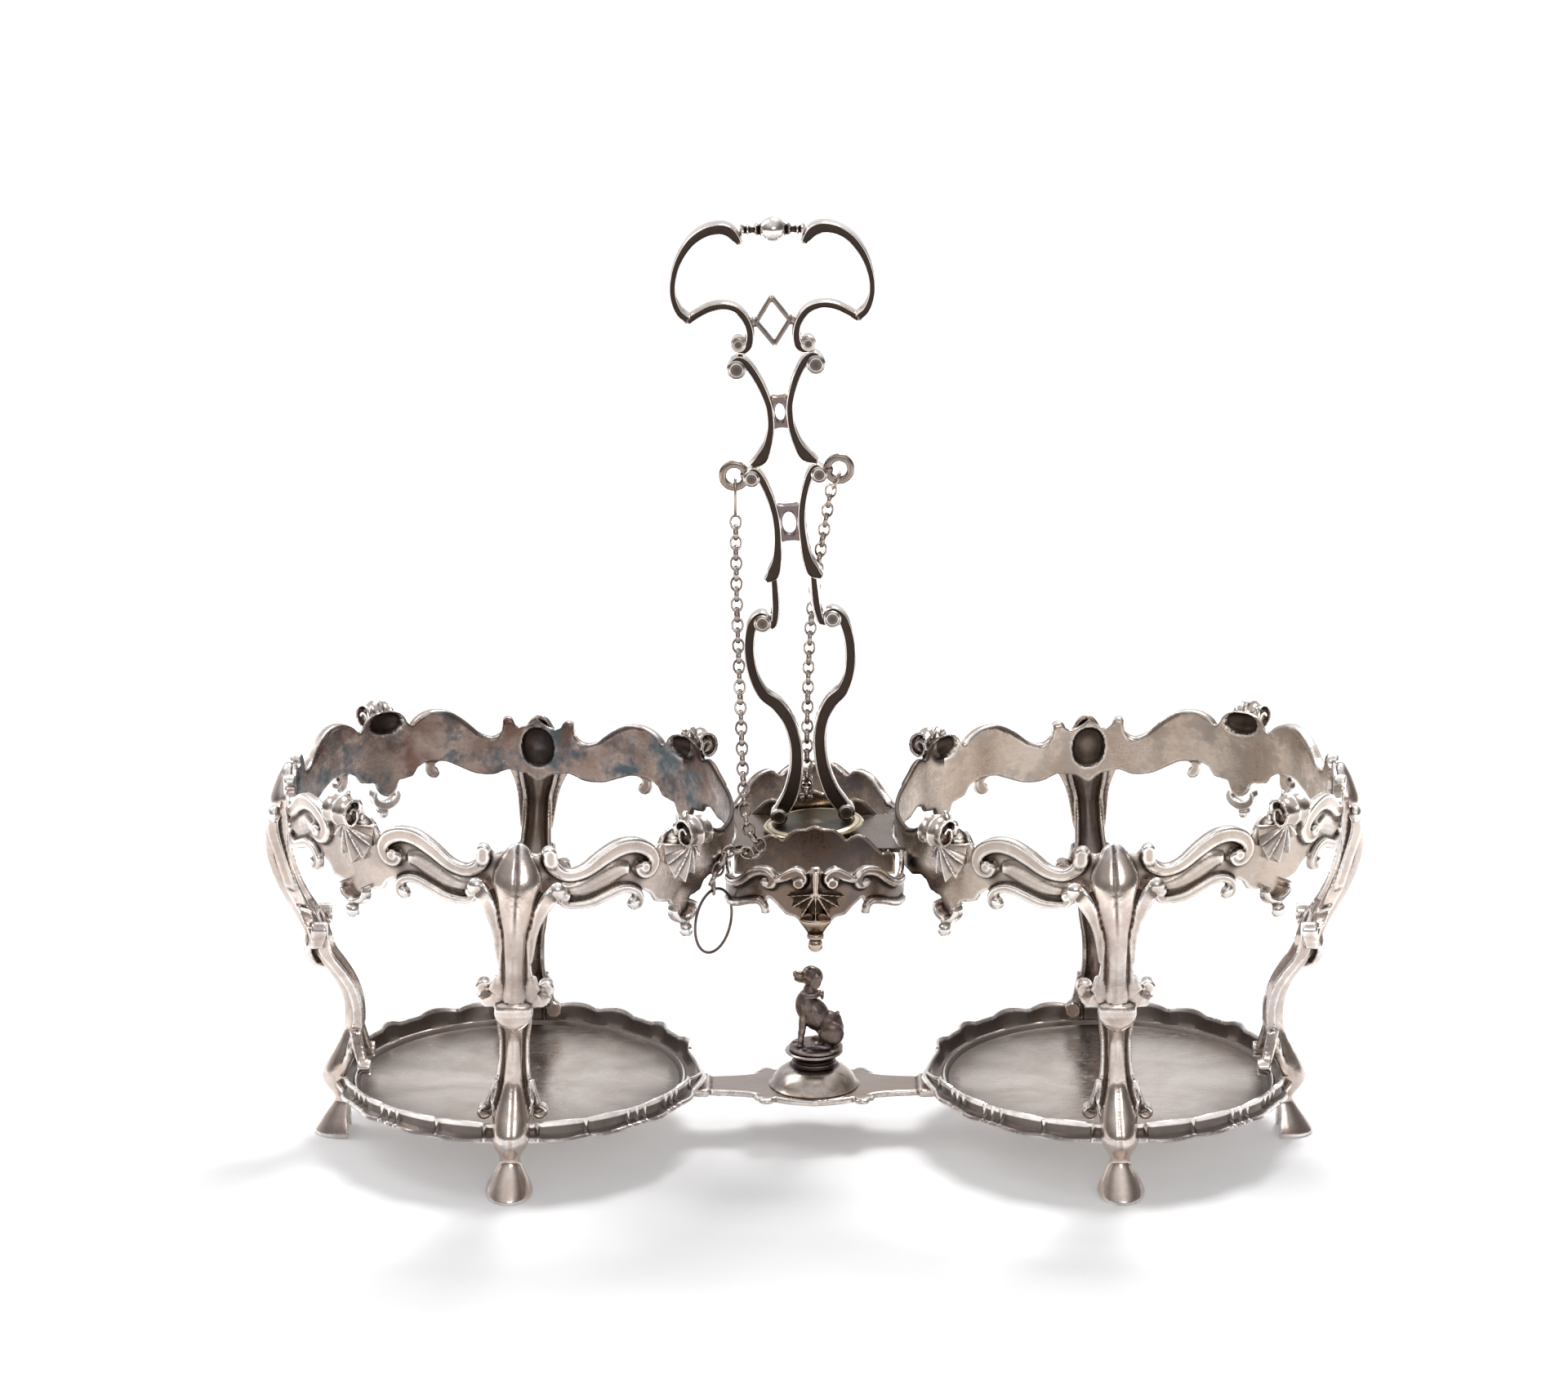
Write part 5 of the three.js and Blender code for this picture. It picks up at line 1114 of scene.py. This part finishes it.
hook_centre = (EYE_LOW[0], 0, hook_top - HOOK_LENGTH / 2)
hook = wire_ring(hook_centre, 1.7, RING_WIRE, (1, 0, 0), lengthen=HOOK_LENGTH / 3.4)
show("long_link_left", "hook_left", *hook, CHAIN, "chain_silver", "chain_left")
jump_ring = wire_ring((5.6, 0.5, 182.3), 2.3, RING_WIRE, (0.9, 0, -0.42))
show("jump_ring_right", "hook_right", *jump_ring, CHAIN, "chain_silver", "chain_right")

yaw = math.radians(56.7)
left_way = (math.sin(yaw), -math.cos(yaw), 0)
# Middle of the small ring and the way it faces, then the same of the loop
LOOPS = {
    "left": ((-26.6, -38.2, 82.75), (0.99, 0.139, 0), (-26.6, -38.2, 73.4), left_way),
    "right": ((-2.1, 26.6, 87.25), (0, 1, 0), (-2.1, 28, 77.9), (1, 0, 0)),
}
for side, (ring_centre, ring_way, loop_centre, loop_way) in LOOPS.items():
    small_ring = wire_ring(ring_centre, 2, RING_WIRE, ring_way)
    show(f"small_ring_{side}", f"loop_ring_{side}", *small_ring, CHAIN, "chain_silver", f"loop_{side}")
    loop = wire_ring(loop_centre, LOOP_RADIUS, LOOP_WIRE, loop_way, 96)
    show(f"wire_loop_{side}", f"loop_{side}", *loop, WIRE, "wire_silver", f"loop_{side}")

# Platform and nut keep their solids and get the silver of the stopper rings and of the handle's foot
for node, material in {"handle_platform": STOPPER, "handle_nut": GILT}.items():
    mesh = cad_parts[node].data
    mesh.materials.clear()
    mesh.materials.append(material)


# Studio. A white sweep with a soft light above and behind on the right, weak ones on the left and in
# front, and a darker room in front, as the silver shows. The floor glows more with distance, for the
# camera and reflections alone, so that the ground is white and the shadow stays.

def lamp(name, place, target, size, power):
    data = bpy.data.lights.new(name, "AREA")
    data.shape = "RECTANGLE"
    data.size, data.size_y = size
    data.energy = power
    thing = bpy.data.objects.new(name, data)
    bpy.context.scene.collection.objects.link(thing)
    away = np.array(place, float) - np.array(target, float)
    up = away / np.linalg.norm(away)
    side = np.cross([0, 0, 1], up)
    side /= np.linalg.norm(side)
    turned_to = np.column_stack([side, np.cross(up, side), up, place])
    thing.matrix_world = Matrix(np.vstack([turned_to, [0, 0, 0, 1]]).tolist())


lamp("top_back", (0.28, 0.7, 1.4), (0, 0, 0.05), (0.55, 0.55), 20)
lamp("top_left", (-0.9, 0.3, 1.1), (0, 0, 0.1), (0.6, 0.9), 4)
lamp("front", (0.3, -1.6, 0.9), (0, 0, 0.1), (0.9, 0.5), 4)

floor_mesh = bpy.data.meshes.new("floor")
floor_mesh.from_pydata([(-6, -6, 0), (6, -6, 0), (6, 6, 0), (-6, 6, 0)], [], [(0, 1, 2, 3)])
floor = bpy.data.objects.new("floor", floor_mesh)
bpy.context.scene.collection.objects.link(floor)
floor_material = bpy.data.materials.new("floor_white")
floor_material.use_nodes = True
tree = floor_material.node_tree
tree.nodes.clear()
path = add_node(tree, "ShaderNodeLightPath")
place = add_node(tree, "ShaderNodeTexCoord").outputs["Object"]
grain = noise(tree, place, 60)
paper = mix(tree, ramp(tree, grain, 0.3, 0.7), srgb("#e9e9ea"), srgb("#eeeeee"))
matt = add_node(tree, "ShaderNodeBsdfDiffuse", {"Color": paper})
distance = add_node(tree, "ShaderNodeVectorMath", {0: place}, operation="LENGTH").outputs[1]
strength = plus(tree, 0.16, times(tree, ramp(tree, distance, 0.22, 0.65), 0.84))
glow = add_node(tree, "ShaderNodeEmission", {"Color": (1, 1, 1, 1), "Strength": strength})
lit = add_node(tree, "ShaderNodeAddShader", {0: matt.outputs[0], 1: glow.outputs[0]})
direct = maths(tree, "MAXIMUM", path.outputs["Is Camera Ray"], path.outputs["Is Glossy Ray"])
seen = add_node(tree, "ShaderNodeMixShader", {0: direct, 1: matt.outputs[0], 2: lit.outputs[0]})
add_node(tree, "ShaderNodeOutputMaterial", {"Surface": seen.outputs[0]})
floor_mesh.materials.append(floor_material)

world = bpy.data.worlds.new("studio")
bpy.context.scene.world = world
world.use_nodes = True
tree = world.node_tree
tree.nodes.clear()
path = add_node(tree, "ShaderNodeLightPath")
way = add_node(tree, "ShaderNodeSeparateXYZ", {0: add_node(tree, "ShaderNodeTexCoord").outputs["Generated"]})
back = ramp(tree, way.outputs[1], -0.35, 0.5)
above = ramp(tree, way.outputs[2], 0.1, 0.9)
aside = plus(tree, ramp(tree, maths(tree, "ABSOLUTE", way.outputs[0]), 0.45, 0.95),
             ramp(tree, way.outputs[0], 0.3, 0.9))
shade = mix(tree, maths(tree, "MAXIMUM", back, above), srgb("#7d7876"), srgb("#fafafb"))
shade = mix(tree, times(tree, aside, 0.45), shade, srgb("#6d6866"))
strength = maths(tree, "SUBTRACT", 0.95, times(tree, path.outputs["Is Diffuse Ray"], 0.35))
light = add_node(tree, "ShaderNodeBackground", {"Color": shade, "Strength": strength})
white = add_node(tree, "ShaderNodeBackground", {"Color": (1, 1, 1, 1), "Strength": 1.0})
links = {0: path.outputs["Is Camera Ray"], 1: light.outputs[0], 2: white.outputs[0]}
seen = add_node(tree, "ShaderNodeMixShader", links)
add_node(tree, "ShaderNodeOutputWorld", {"Surface": seen.outputs[0]})

camera_data = bpy.data.cameras.new("camera")
camera_data.lens = 112.1
camera_data.sensor_width = 36
camera_data.clip_end = 20
camera = bpy.data.objects.new("camera", camera_data)
camera.location = (-0.00816, -1.25, 0.4798)
camera.rotation_euler = (math.pi / 2 - 0.2757, 0, 0)
bpy.context.scene.collection.objects.link(camera)
bpy.context.scene.camera = camera
bpy.context.scene.view_settings.view_transform = "Standard"
